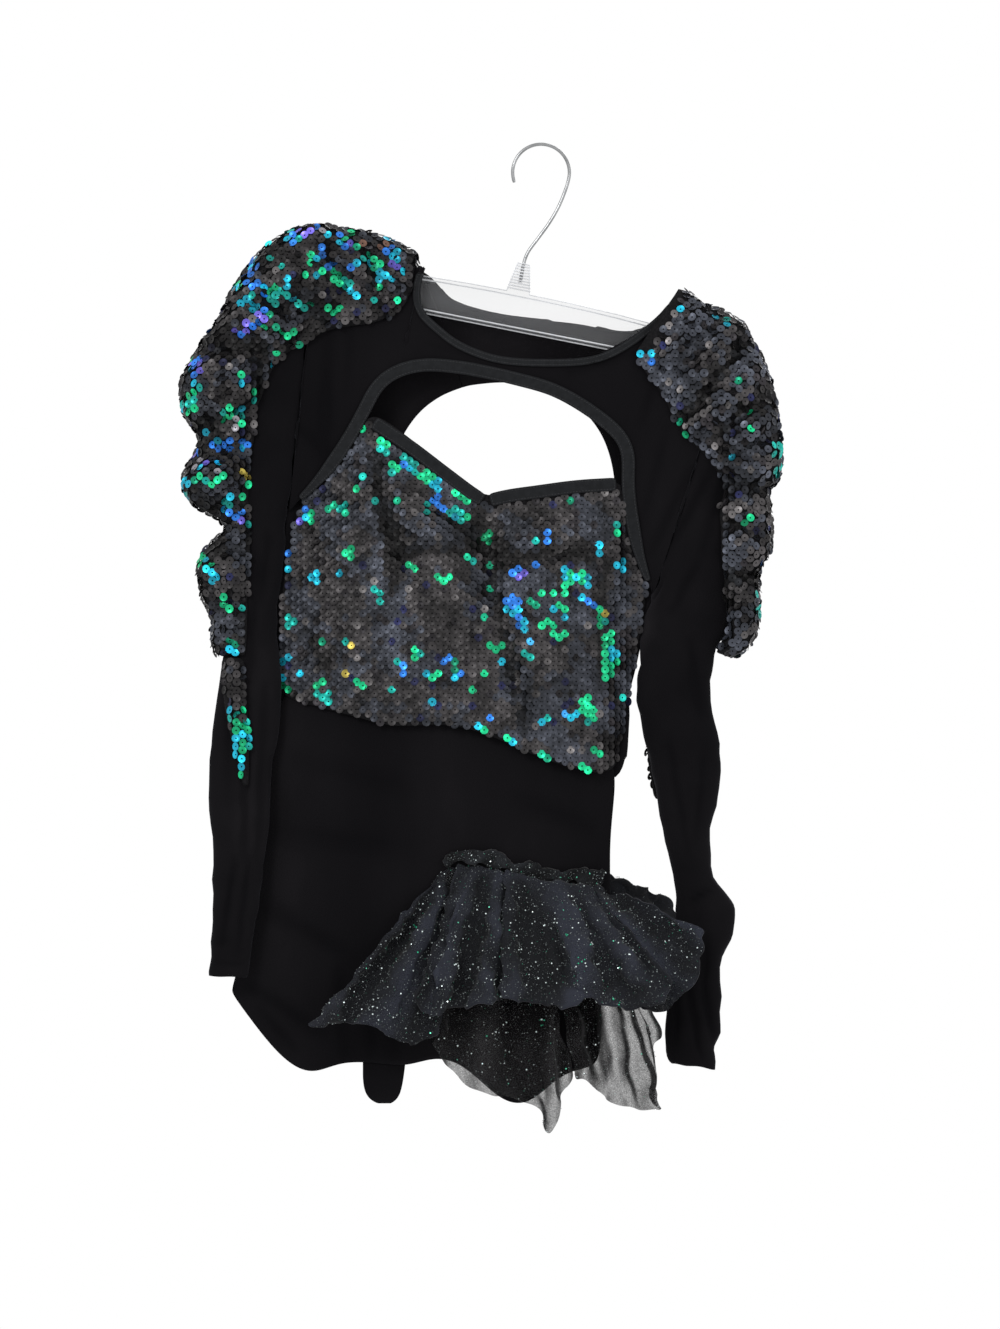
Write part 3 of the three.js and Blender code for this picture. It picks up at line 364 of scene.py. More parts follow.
def vectors_of(mesh, kind="co"):
    """The places of a mesh's points, or their normals."""
    found = np.zeros(len(mesh.vertices) * 3)
    mesh.vertices.foreach_get(kind, found)
    return found.reshape(-1, 3)


def set_points(mesh, points):
    mesh.vertices.foreach_set("co", np.ascontiguousarray(points, float).ravel())
    mesh.update()


def add_object(name, mesh, *materials):
    mesh.name = name
    obj = bpy.data.objects.new(name, mesh)
    bpy.context.scene.collection.objects.link(obj)
    for material in materials:
        mesh.materials.append(material)
    return obj


def smooth(mesh, on=True):
    mesh.polygons.foreach_set("use_smooth", [on] * len(mesh.polygons))


def subdivision(obj, levels):
    made = obj.modifiers.new("smooth", "SUBSURF")
    made.levels = levels
    made.render_levels = levels
    return made


def belongs(obj, slot, node_name=None):
    """Puts a piece on the part's body and hides the node that it stands for. slot is not used."""
    if node_name:
        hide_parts(node_name)
    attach(obj, "root")


FOLD_REACH = 8.0  # a ridge this high gets the most painted light, and a trough this deep the most painted shade


def store_folds(mesh, depth):
    """Keeps how high each point lies in its fold, for painted light on ridges and painted shade in
    troughs, and how steeply the folded cloth runs there.
    """
    height = np.clip(0.5 - 0.5 * depth / FOLD_REACH, 0, 1)
    steep = 1 - np.abs(vectors_of(mesh, "normal")[:, 1])
    values = np.stack([height, steep, np.zeros_like(height), np.ones_like(height)], axis=1)
    layer = mesh.color_attributes.new("fold", "FLOAT_COLOR", "POINT")
    layer.data.foreach_set("color", values.ravel())


def open_edges(polygons):
    """The neighbours of each point on the open edges of some polygons."""
    uses = {}
    for polygon in polygons:
        for key in polygon.edge_keys:
            uses[key] = uses.get(key, 0) + 1
    beside = {}
    for (a, b), count in sorted(uses.items()):
        if count == 1:
            beside.setdefault(a, []).append(b)
            beside.setdefault(b, []).append(a)
    return beside


def even_edges(mesh, points, rounds):
    """Takes small jogs out of the open edges: each point goes half way to its neighbours' middle."""
    beside = open_edges(mesh.polygons)
    index = np.array([(i, *two) for i, two in beside.items() if len(two) == 2])
    if len(index):
        for _ in range(rounds):
            middle = (points[index[:, 1]] + points[index[:, 2]]) / 2
            points[index[:, 0]] = (points[index[:, 0]] + middle) / 2


FIT_ROUNDS = 3  # how often the smoothed cloth is brought back to its solid's points
FIT_SHARE = 0.8  # how much of the way, each time
EVEN_ROUNDS = 3


def shell(node_name, kind, levels=2, folds=None, drift=None, thickness=None):
    """A cloth shell on a node's form: smoothed through its points, folded, then given its wall.
    drift is the size, depth and seed of uneven waves along the cloth, which show at its edges.
    thickness is the shell's own where it isn't the node's wall."""
    name = node_name + "_" + kind["ending"]
    wall = kind["wall"]
    bm = outer_side(node_name, wall)
    mesh = bpy.data.meshes.new(name)
    bm.to_mesh(mesh)
    bm.free()
    obj = add_object(name, mesh, kind["material"])
    targets = vectors_of(mesh)
    control = targets.copy()
    subdivision(obj, levels).boundary_smooth = "PRESERVE_CORNERS"
    for _ in range(FIT_ROUNDS):
        fitted = vectors_of(evaluated(obj).data)[: len(targets)]
        control += FIT_SHARE * (targets - fitted)
        set_points(mesh, control)
    applied(obj)
    points = vectors_of(obj.data) / MM
    even_edges(obj.data, points, EVEN_ROUNDS * levels)
    normals = vectors_of(obj.data, "normal")
    depth = folds(points, normals) if folds else np.zeros(len(points))
    moved = points - depth[:, None] * normals
    if drift:
        size, reach, seed = drift
        moved[:, 0] += rumple(points, size, reach, seed)
        moved[:, 2] += rumple(points, size, reach, seed + 1)
    set_points(obj.data, moved * MM)
    store_folds(obj.data, depth)
    obj["skin_points"] = len(obj.data.vertices)
    thick = obj.modifiers.new("wall", "SOLIDIFY")
    thick.thickness = (thickness or wall) * MM
    thick.offset = -1
    thick.use_even_offset = False
    applied(obj)
    smooth(obj.data)
    belongs(obj, kind["slot"], node_name)
    return obj


# Folds: troughs and ridges along lines in the front view, in millimetres


START_TAPER = 0.12  # how far along its swell a fold is where its line starts


def along_lines(points, table):
    """How much each row's soft trough (or ridge, if negative) moves each point."""
    total = np.zeros(len(points))
    for row in table:
        start = np.array([row["x1"], row["z1"]], float)
        way = np.array([row["x2"], row["z2"]], float) - start
        flat = points[:, [0, 2]] - start
        share = np.clip(flat @ way / (way @ way), 0, 1)
        away = np.linalg.norm(flat - share[:, None] * way, axis=1)
        taper = np.sin(np.pi * np.clip(START_TAPER + (1 - START_TAPER) * share, 0, 1)) ** 0.5
        total += row["depth"] * taper * np.exp(-((away / row["width"]) ** 2))
    return total


def rumple(points, size, depth, seed):
    """Soft uneven waves, from noise of that size."""
    shift = Vector((seed * 13.7, seed * 5.1, seed * 9.3))
    return np.array([depth * noise.noise(Vector(p) / size + shift) for p in points])


# The size and depth of the noise that bends a fan's pleats, and of that which varies their depth
FAN_BEND = (60, 0.12)
FAN_UNEVEN = (45, 0.9)
LEAST_GROWN = 0.12  # how deep pleats already are where they start
SIDE_PLEATS = (2.3, 0.45)  # how many narrower pleats lie between, and how deep, by the fan's own


def pleated(points, fan, seed):
    """Uneven pleats that spread from a point: shallow near it, deeper out at the hem."""
    flat = points[:, [0, 2]] - np.array([fan["x"], fan["z"]], float)
    angle = np.arctan2(flat[:, 0], -flat[:, 1]) + rumple(points, *FAN_BEND, seed)
    reach = np.linalg.norm(flat, axis=1)
    grown = np.clip((reach - fan["start"]) / (fan["full"] - fan["start"]), LEAST_GROWN, 1)
    uneven = 1 + rumple(points, *FAN_UNEVEN, seed + 3)
    more, share = SIDE_PLEATS
    waves = np.sin(fan["pleats"] * angle) + share * np.sin(more * fan["pleats"] * angle + seed)
    return fan["depth"] * grown * uneven * waves


def folded(front=(), back=(), waves=(), fan=None, seed=0, sides=()):
    """A fold function, of depths: tables of lines for the front, the back and what faces
    sideways, rumples as (size, depth, seed), and a fan of pleats."""

    def depths(points, normals):
        depth = np.zeros(len(points))
        facing = normals[:, 1]
        depth += np.clip(-facing * 2, 0, 1) * along_lines(points, front)
        depth += np.clip(facing * 2, 0, 1) * along_lines(points, back)
        depth += (1 - np.abs(facing)) * along_lines(points, sides)
        for size, height, wave_seed in waves:
            depth += rumple(points, size, height, wave_seed)
        if fan:
            depth += pleated(points, fan, seed)
        return depth

    return depths


YOKE_CREASES = crease_rows(
    (-158, -138, -164, -243, 5, 1.2),
    (-142, -130, -146, -190, 4, 0.8),
    (-181, -213, -157, -232, 4, 1.0),
    (112, -243, 80, -310, 4, 1.3),
    (95, -213, 74, -288, 4, 1.0),
    (86, -176, 74, -213, 4, 0.8),
    (-83, -149, -16, -170, 3, 0.5),
    (22, -170, 74, -154, 4, 0.8),
)
BACK_CREASES = crease_rows(
    (-158, -138, -167, -280, 5, 1.2),
    (112, -243, 82, -333, 4, 1.2),
    (-106, -356, -121, -408, 6, 1.2),
    (-16, -370, 14, -446, 6, 1.2),
    (-181, -340, -147, -370, 5, 1.0),
    (-61, -348, -53, -423, 5, 0.8),
)
BODY_CREASES = crease_rows(
    (-209, -569, -136, -610, 7, 1.4),
    (-203, -513, -91, -528, 9, 1.0),
    (-218, -629, -158, -667, 6, 1.6),
    (-209, -648, -181, -680, 4, 1.4),
    (-147, -678, -151, -610, 6, 1.3),
    (-110, -680, -104, -610, 6, 1.2),
    (-127, -680, -127, -640, 5, 0.8),
    (-181, -460, -91, -483, 9, 0.9),
    (-16, -490, 43, -513, 8, 1.2),
    (-76, -670, -31, -700, 5, 1.2),
)
BODICE_CREASES = crease_rows(
    (-38, -320, -18, -402, 5.5, 4.2),
    (-20, -393, -10, -444, 5, 3.0),
    (-50, -280, -33, -322, 5, 3.6),
    (-128, -230, -119, -255, 5, 2.6),
    (-121, -250, -111, -296, 5.5, 3.4),
    (-111, -292, -98, -320, 5, 2.6),
    (-99, -310, -53, -299, 6, 2.4),
    (-21, -312, 38, -299, 5, 3.0),
    (-83, -266, -50, -296, 5, 2.2),
    (-1, -269, -31, -299, 5, 1.8),
    (32, -370, 19, -416, 7, 2.2),
    (50, -310, 41, -416, 5, 2.4),
    (-177, -340, -172, -416, 7, 1.6),
    (-64, -340, -76, -416, 8, 1.8),
    (44, -266, 49, -310, 4, 1.6),
    (-31, -340, -1, -430, 7, -2.4),
    (-143, -280, -142, -378, 12, -1.8),
    (-91, -280, -76, -370, 12, -1.6),
)
LEFT_SLEEVE_CREASES = crease_rows(
    (-212, -310, -221, -416, 3, 1.4),
    (-220, -411, -222, -536, 2.6, 1.6),
    (-206, -408, -212, -543, 3, 1.3),
    (-232, -370, -234, -490, 3, 1.2),
    (-229, -536, -239, -603, 2.6, 1.5),
    (-218, -536, -226, -603, 2.6, 1.5),
    (-246, -596, -221, -600, 2.4, 1.4),
    (-247, -609, -220, -612, 2.2, 1.4),
    (-209, -340, -203, -288, 4, 1.6),
)
RIGHT_SLEEVE_CREASES = crease_rows(
    (128, -243, 92, -310, 4, 1.8),
    (146, -220, 119, -310, 4, 1.4),
    (98, -348, 119, -310, 4, 1.6),
    (112, -370, 119, -430, 3.4, 1.4),
    (95, -446, 112, -536, 3, 1.2),
    (122, -460, 115, -528, 3, 1.2),
    (112, -566, 131, -554, 3, 1.6),
    (106, -588, 112, -633, 3, 1.6),
    (110, -629, 120, -686, 2.8, 2.0),
    (124, -592, 122, -640, 3, 1.6),
    (122, -633, 130, -672, 2.8, 2.0),
    (101, -626, 101, -678, 2.6, 1.6),
)
RIGHT_SLEEVE_SIDES = crease_rows(
    (83, -334, 75, -387, 12, -4.2),
    (139, -340, 136, -376, 9, -6.0),
)
LEFT_RUFFLE_CREASES = crease_rows(
    (-216, -119, -158, -132, 5, 5.0),
    (-227, -138, -202, -162, 5, 3.0),
    (-259, -153, -209, -154, 6, 5.5),
    (-252, -209, -214, -200, 5, 5.0),
    (-265, -237, -218, -225, 5, 4.0),
    (-252, -280, -217, -264, 4.5, 3.6),
    (-170, -74, -142, -108, 5, 4.2),
    (-152, -116, -181, -92, 5, 3.4),
    (-127, -78, -127, -116, 4.5, 3.0),
    (-110, -87, -134, -104, 4.5, 2.6),
    (-209, -87, -181, -116, 5, -3.0),
    (-192, -78, -167, -116, 5, -2.6),
    (-256, -179, -218, -176, 6, -3.0),
    (-260, -250, -220, -247, 6, -2.6),
    (-254, -310, -218, -299, 4, 3.0),
    (-252, -348, -220, -340, 4, 2.6),
)
RIGHT_RUFFLE_CREASES = crease_rows(
    (151, -149, 104, -206, 5, 4.6),
    (134, -129, 97, -179, 5, 4.0),
    (169, -184, 124, -220, 5, 4.4),
    (176, -217, 131, -237, 5, 3.6),
    (172, -258, 136, -250, 4.5, 4.4),
    (170, -292, 136, -280, 4.5, 3.6),
    (163, -324, 137, -312, 4, 3.4),
    (161, -348, 139, -340, 4, 2.6),
    (119, -123, 86, -168, 5, -2.6),
    (161, -168, 116, -213, 6, -3.0),
    (176, -198, 134, -228, 6, -2.6),
)


def velvet_pieces():
    shell("front_yoke", VELVET_CLOTH, 3, folded(YOKE_CREASES, waves=[(45, 0.5, 1)]))
    shell("back", VELVET_CLOTH, 3, folded((), BACK_CREASES, waves=[(45, 0.5, 2)]))
    shell("body_front", VELVET_CLOTH, 3, folded(BODY_CREASES, waves=[(50, 0.6, 3)]))
    shell("body_back", VELVET_CLOTH, 3, folded((), BODY_CREASES, waves=[(50, 0.6, 4)]))
    shell("gusset", VELVET_CLOTH, 3)
    sleeves = (
        ("sleeve_left", LEFT_SLEEVE_CREASES, (), 5, 80),
        ("sleeve_right", RIGHT_SLEEVE_CREASES, RIGHT_SLEEVE_SIDES, 6, 82),
    )
    for name, creases, sides, seed, edge_seed in sleeves:
        folds = folded(creases, creases, [(28, 0.7, seed), (11, 0.4, seed + 10)], sides=sides)
        shell(name, VELVET_CLOTH, 2, folds, (13, 1.6, edge_seed), SLEEVE_THICKNESS)


def binding_pieces():
    names = ("neck_binding_front", "neck_binding_back", "sweetheart_binding_left",
             "sweetheart_binding_right", "keyhole_binding")
    return {
        name: shell(name, FOLDED_BINDING, 3, folded(waves=[(14, 0.25, seed)]))
        for seed, name in enumerate(names, 20)
    }


def sequinned_pieces():
    found = {"bodice": shell("bodice", SEQUIN_CLOTH, 2, folded(BODICE_CREASES, waves=[(30, 1.0, 7)]))}
    ruffles = (("ruffle_left", LEFT_RUFFLE_CREASES, 8), ("ruffle_right", RIGHT_RUFFLE_CREASES, 9))
    for name, creases, seed in ruffles:
        folds = folded(creases, creases, [(22, 2.4, seed), (10, 1.2, seed + 10)])
        found[name] = shell(name, SEQUIN_CLOTH, 2, folds)
    for name in ("ruffle_left_tail", "ruffle_right_tail"):
        found[name] = shell(name, SEQUIN_CLOTH)
    return found


# Small parts, joined in one piece


AROUND = ((-1, -1), (1, -1), (1, 1), (-1, 1))
OPEN_BOX = [(0, 1, 2, 3), (0, 4, 5, 1), (1, 5, 6, 2), (2, 6, 7, 3), (3, 7, 4, 0)]


def joined_mesh(name, groups):
    """One mesh from small parts, each (points in mm, faces, tint, material index)."""
    points, faces, tints, index = [], [], [], []
    for part_points, part_faces, tint, material in groups:
        base = len(points)
        points.extend(part_points)
        faces.extend([tuple(base + i for i in f) for f in part_faces])
        tints.extend([tint] * len(part_points))
        index.extend([material] * len(part_faces))
    mesh = bpy.data.meshes.new(name)
    mesh.from_pydata([Vector(p) * MM for p in points], [], faces)
    layer = mesh.color_attributes.new("tint", "FLOAT_COLOR", "POINT")
    layer.data.foreach_set("color", [c for t in tints for c in (*t, 1)])
    mesh.polygons.foreach_set("material_index", index)
    smooth(mesh)
    return mesh


def small_parts(name, groups, slot, *materials):
    piece = add_object(name, joined_mesh(name, groups), *materials)
    belongs(piece, slot)
    print(name, len(groups))
    return piece


def skin_tree(*objects):
    """A tree of the outer skins of some shells, in millimetres."""
    points, faces = [], []
    for obj in objects:
        base = len(points)
        skin = obj["skin_points"]
        points += [v.co / MM for v in obj.data.vertices]
        faces += [[base + i for i in p.vertices] for p in obj.data.polygons if max(p.vertices) < skin]
    return BVHTree.FromPolygons(points, faces)


def skin_edges(obj):
    """The neighbours of each point on the open edges of a shell's skin."""
    skin = obj["skin_points"]
    return open_edges(p for p in obj.data.polygons if max(p.vertices) < skin)


def turned(normal, draw, tilt, lean=0.0):
    """Axes of a small thing that faces along a normal, leaning up by a share of it, tilted and
    turned at random."""
    facing = Vector(normal) + tilt * Vector([draw.gauss(0, 1) for _ in range(3)])
    facing.z += lean
    facing.normalize()
    side = facing.orthogonal().normalized()
    spin = Matrix.Rotation(draw.uniform(0, 2 * math.pi), 3, facing)
    side = spin @ side
    return side, facing.cross(side), facing


# Stitches: a row of small threads along both edges of each binding

STITCH_INSET = 1.3  # how far inside the edge they lie
STITCH_EVERY = 2.3
STITCH_HALF_LENGTH = 0.75
STITCH_HALF_WIDTH = 0.2
STITCH_LAYERS = ((0.22, 0.7), (-0.1, 1.0))  # its top and bottom: height, and share of its size
STITCH_STRAY = 0.8  # no stitch where the cloth lies farther away than this
STITCH_TINT = (0.02, 0.021, 0.024)


def rim_loops(obj):
    """The closed loops of points round the skin's open edges."""
    loops = []
    left = skin_edges(obj)
    while left:
        start = min(left)
        loop = [start]
        while True:
            onward = [i for i in left.get(loop[-1], ()) if i in left and i not in loop[-2:]]
            if not onward or (len(loop) > 2 and onward[0] == start):
                break
            loop.append(onward[0])
            left.pop(loop[-2], None)
        left.pop(loop[-1], None)
        loops.append(loop)
    return loops


def places_along(path):
    """Places for stitches along a path, and which way it runs there."""
    left = 0.0
    for before, after in zip(path, path[1:]):
        run = after - before
        length = run.length
        while left < length:
            along = run.normalized()
            yield before + left * along, along
            left += STITCH_EVERY
        left -= length


def stitches(name, obj):
    """Thread stitches just inside the open edges of a shell's skin."""
    tree = skin_tree(obj)
    groups = []
    for loop in rim_loops(obj):
        for edge, along in places_along([obj.data.vertices[i].co / MM for i in loop]):
            _, normal, _, _ = tree.find_nearest(edge)
            inward = normal.cross(along).normalized() * STITCH_INSET
            if tree.find_nearest(edge + inward)[3] > tree.find_nearest(edge - inward)[3]:
                inward = -inward
            seat, normal, _, away = tree.find_nearest(edge + inward)
            if away > STITCH_STRAY:
                continue
            length = STITCH_HALF_LENGTH * along
            width = STITCH_HALF_WIDTH * normal.cross(along).normalized()
            corners = [
                seat + share * (x * length + y * width) + height * normal
                for height, share in STITCH_LAYERS
                for x, y in AROUND
            ]
            groups.append((corners, OPEN_BOX, STITCH_TINT, 0))
    small_parts(name, groups, "binding", THREAD)


# Sequins: small cups in a half-drop lattice, laid on the cloth from each side that it faces

SEQUIN_RADIUS = 3.2
SEQUIN_SIDES = 10
# Rings of a sequin's cup as (share of its radius, height), from its rim to the hole
CUP = ((1.0, 0.6), (0.66, 0.22), (0.2, 0.1))
COLUMN = 4.3  # between columns
PITCH = 6.0  # between sequins in a column
LATTICE_MARGIN = 10
LEAST_APART = 3.8
SEQUIN_LIFT = 0.5
LIFT_SPREAD = 0.4
SEQUIN_SIZES = (0.94, 1.04)
OVERLAP_LEAN = 0.1  # each sequin's lower edge stands out over the next one
PAINTED_FOLD_SHADE = 0.4  # how much painted shade a fold's trough puts on them, for each millimetre of its depth
BODICE_TILT = 0.11  # how unevenly they lie
RUFFLE_TILT = 0.26

COVER_REACH = 14.0  # how far in front of or behind a seat a binding may cover it
COVER_SPREAD = 0.7  # how far beside a seat one already hides it
BARE_RIM = 0.9  # how near the cloth's edge the sequins end, on average
RAG_SIZE = 7.0  # how long the ragged edge's teeth are
# Where the ruffles' cloth has no sequins: along the neck
BARE_PLACES = rows("x1 z1 x2 z2 radius", (98, -112, 77, -148, 7.5))

# Each facing is an axis, the side of it, and how squarely the cloth faces that way at least.
ALL_ROUND = ((1, -1, 0.5), (1, 1, 0.5), (0, -1, 0.35), (0, 1, 0.35), (2, 1, 0.35), (2, -1, 0.35))
FRONT_AND_SIDES = ((1, -1, 0.4), (0, -1, 0.3), (0, 1, 0.3), (2, 1, 0.3), (2, -1, 0.3))

TINTS = {
    "green": (0.01, 0.52, 0.22),
    "emerald": (0.006, 0.3, 0.16),
    "teal": (0.01, 0.38, 0.32),
    "cyan": (0.015, 0.44, 0.62),
    "blue": (0.03, 0.2, 0.72),
    "violet": (0.15, 0.12, 0.58),
    "gold": (0.5, 0.4, 0.08),
    "copper": (0.2, 0.11, 0.08),
    "pale": (0.3, 0.29, 0.32),
}
LOOSE_TINTS = "green teal emerald cyan blue emerald".split()
GREYS = {
    "brown": (0.035, 0.0325, 0.0335),
    "slate": (0.034, 0.0375, 0.048),
    "dark": (0.016, 0.0145, 0.0165),
    "light": (0.1, 0.094, 0.095),
    "navy": (0.012, 0.014, 0.05),
}
ODD_GREYS = (("light", 0.03), ("dark", 0.13), ("navy", 0.15))  # up to what share of all each goes


def rim_places(obj):
    """The points along the skin's open edges, in millimetres, in a tree."""
    rim = sorted(skin_edges(obj))
    tree = KDTree(len(rim))
    for place in rim:
        tree.insert(obj.data.vertices[place].co / MM, place)
    tree.balance()
    return tree


def is_covered(point, covers):
    """Whether a binding lies in front of or behind a point or just beside it."""
    for dx, dz in ((0, 0), (1, 0), (-1, 0), (0, 1), (0, -1)):
        start = Vector((point.x + COVER_SPREAD * dx, point.y - COVER_REACH, point.z + COVER_SPREAD * dz))
        if covers.ray_cast(start, BACK, 2 * COVER_REACH)[0] is not None:
            return True
    return False


def kept_seat(point, rim, covers, ragged):
    """Whether a sequin may sit there: off the cloth's edge, and not under a binding."""
    if any(distance_to(row, point) < row["radius"] for row in BARE_PLACES):
        return False
    if is_covered(point, covers):
        return False
    return rim.find(point)[2] > BARE_RIM + ragged * (0.5 + noise.noise(point / RAG_SIZE))


def lattice_starts(obj, facings):
    """Where the lattice's rays start outside an object, with their way, axis, side and facing."""
    corners = np.array([v.co for v in obj.data.vertices]) / MM
    low = corners.min(axis=0) - LATTICE_MARGIN
    high = corners.max(axis=0) + LATTICE_MARGIN
    for axis, sign, least in facings:
        across = 1 if axis == 0 else 0
        up = 1 if axis == 2 else 2
        way = Vector((0, 0, 0))
        way[axis] = -sign
        columns = int((high[across] - low[across]) / COLUMN) + 1
        per_column = int((high[up] - low[up]) / PITCH) + 1
        for i, j in product(range(columns), range(per_column)):
            start = Vector((0, 0, 0))
            start[axis] = high[axis] if sign > 0 else low[axis]
            start[across] = low[across] + i * COLUMN
            start[up] = low[up] + (j + 0.5 * (i % 2)) * PITCH
            yield start, way, axis, sign, least


def lattice_seats(obj, facings, covers, ragged):
    """Seats for sequins on an object: points and normals in millimetres."""
    tree = skin_tree(obj)
    rim = rim_places(obj)
    near = {}
    seats = []

    def cell(p):
        return tuple(int(math.floor(c / LEAST_APART)) for c in p)

    def is_free(p):
        x, y, z = cell(p)
        beside = (near.get((x + i, y + j, z + k), ()) for i, j, k in product((-1, 0, 1), repeat=3))
        return all((q - p).length >= LEAST_APART for found in beside for q in found)

    for start, way, axis, sign, least in lattice_starts(obj, facings):
        hit, normal, _, _ = tree.ray_cast(start, way)
        if hit is None or normal[axis] * sign < least or not is_free(hit):
            continue
        if kept_seat(hit, rim, covers, ragged):
            near.setdefault(cell(hit), []).append(hit)
            seats.append((hit, normal))
    return seats


def cup_faces():
    sides = SEQUIN_SIDES
    around = [(i, (i + 1) % sides) for i in range(sides)]
    rings = [ring * sides for ring in range(len(CUP) - 1)]
    return [(ring + i, ring + j, ring + sides + j, ring + sides + i) for ring in rings for i, j in around]


def sequins(name, obj, facings, paint, seed, creases, covers, ragged, tilt):
    draw = random.Random(seed)
    faces = cup_faces()
    turns = [2 * math.pi * i / SEQUIN_SIDES for i in range(SEQUIN_SIDES)]
    seats = lattice_seats(obj, facings, covers, ragged)
    # Painted shade: the deeper the trough under a seat, the darker its sequin's tint.
    depths = along_lines(np.array([seat for seat, _ in seats]), creases)
    groups = []
    for (seat, normal), depth in zip(seats, depths):
        tint, shiny = paint(seat, draw, 1 / (1 + PAINTED_FOLD_SHADE * max(depth, 0.0)))
        a, b, up = turned(normal, draw, tilt, OVERLAP_LEAN)
        centre = seat + SEQUIN_LIFT * Vector(normal) + draw.uniform(0, LIFT_SPREAD) * up
        radius = draw.uniform(*SEQUIN_SIZES) * SEQUIN_RADIUS
        part = [
            centre + radius * share * (math.cos(turn) * a + math.sin(turn) * b) + height * up
            for share, height in CUP
            for turn in turns
        ]
        groups.append((part, faces, tint, int(shiny)))
    small_parts(name, groups, "sequins", CHARCOAL_SEQUIN, BRIGHT_SEQUIN)


def varied(colour, draw, spread):
    level = math.exp(draw.gauss(0, spread))
    return tuple(min(1.0, c * level) for c in colour)


def distance_to(row, seat):
    """How far a seat lies from a row's line, in the front view."""
    start = Vector((row["x1"], row["z1"]))
    way = Vector((row["x2"], row["z2"])) - start
    flat = Vector((seat.x, seat.z)) - start
    share = min(1.0, max(0.0, flat.dot(way) / max(way.length_squared, 1e-6)))
    return (flat - share * way).length


CLUSTER_SCALE = 0.95
SHADED_LIGHT = 0.45  # how much of its tint an iridescent sequin keeps under the darkest painted fold shade
CLUSTER_SPREAD, LOOSE_SPREAD, GREY_SPREAD = 0.28, 0.4, 0.2  # how unevenly light they are
PATCH_SPREAD = 0.1
PATCH_GAIN = 1.1
DARKEST_PATCH = 0.2
ZONE_RAG = (6.0, 0.35)  # how long the waves in a zone's edge are, and how high, by its radius
PATCH_SIZE = 24.0  # of the patches of brown and slate
SHADE_SIZE = 13.0  # of the lighter and darker patches


def painter(clusters, zones, scattered, seed, level=1.0, cool=0.12, share=1.0):
    """Chooses a sequin's tint: by the clusters and zones that it lies in, then at random.
    The lower cool is, the more of them are slate, and share is that of a cluster's which shine."""
    shift = Vector((seed * 3.1, seed * 7.7, seed * 1.3))

    def iridescent(kinds, draw, spread, shade):
        lit = min(1.0, SHADED_LIGHT + (1 - SHADED_LIGHT) * shade)
        return varied(tuple(lit * t for t in TINTS[draw.choice(kinds)]), draw, spread), True

    # shade is painted shade from the trough under the seat, scaled by the zones; it also thins out the
    # loose iridescent sequins
    def paint(seat, draw, shade):
        kind = None
        # painted shade from the zones, and their own kind of grey
        for zone in zones:
            waves = noise.noise(seat / ZONE_RAG[0] + shift)
            if distance_to(zone, seat) < zone["radius"] * (1 + ZONE_RAG[1] * waves):
                shade *= zone["shade"]
                kind = zone["kind"] or kind
        for cluster in clusters:
            inside = distance_to(cluster, seat) < CLUSTER_SCALE * cluster["radius"]
            if inside and draw.random() < share * cluster["share"]:
                return iridescent(cluster["tints"].split(), draw, CLUSTER_SPREAD, shade)
        if draw.random() < scattered * min(shade, 1.0):
            return iridescent(LOOSE_TINTS, draw, LOOSE_SPREAD, shade)
        patch = noise.noise(seat / PATCH_SIZE + shift) + draw.gauss(0, PATCH_SPREAD)
        if kind is None:
            kind = "slate" if patch > cool else "brown"
        chance = draw.random()
        kind = next((odd for odd, below in ODD_GREYS if chance < below), kind)
        shade *= max(DARKEST_PATCH, 1 + PATCH_GAIN * noise.noise(seat / SHADE_SIZE - shift))
        return varied(tuple(level * shade * c for c in GREYS[kind]), draw, GREY_SPREAD), False

    return paint


# Zones where the sequins' tint is multiplied by shade: below 1 it is painted shade in folds, hollows and
# turned-over ends, above 1 it makes them lighter; kind is their own brown or slate.
BODICE_ZONES = zone_rows(
    (-125, -225, -121, -243, 4, 0.45, ""),
    (-122, -266, -109, -299, 7, 0.3, ""),
    (-109, -288, -98, -302, 8, 0.4, ""),
    (-115, -304, -107, -332, 5, 0.4, ""),
    (-64, -280, -25, -310, 9, 0.35, ""),
    (-55, -264, -35, -284, 6, 0.45, ""),
    (-94, -299, -53, -302, 6, 0.55, ""),
    (-20, -310, 35, -308, 5, 0.5, "brown"),
    (31, -296, 40, -333, 5, 0.45, ""),
    (-37, -318, -20, -408, 3, 0.4, ""),
    (-22, -408, -11, -444, 3, 0.5, ""),
    (49, -310, 43, -370, 4, 0.6, ""),
    (-126, -272, -121, -333, 3.5, 1.45, "slate"),
    (-121, -333, -112, -386, 10, 1.15, "slate"),
    (-19, -333, 3, -329, 9, 1.2, "slate"),
    (26, -378, 40, -408, 10, 1.15, "slate"),
    (-83, -333, -46, -400, 14, 0.9, "brown"),
    (-173, -310, -143, -340, 14, 1.0, "brown"),
    (-20, -266, 14, -280, 9, 1.1, "brown"),
)
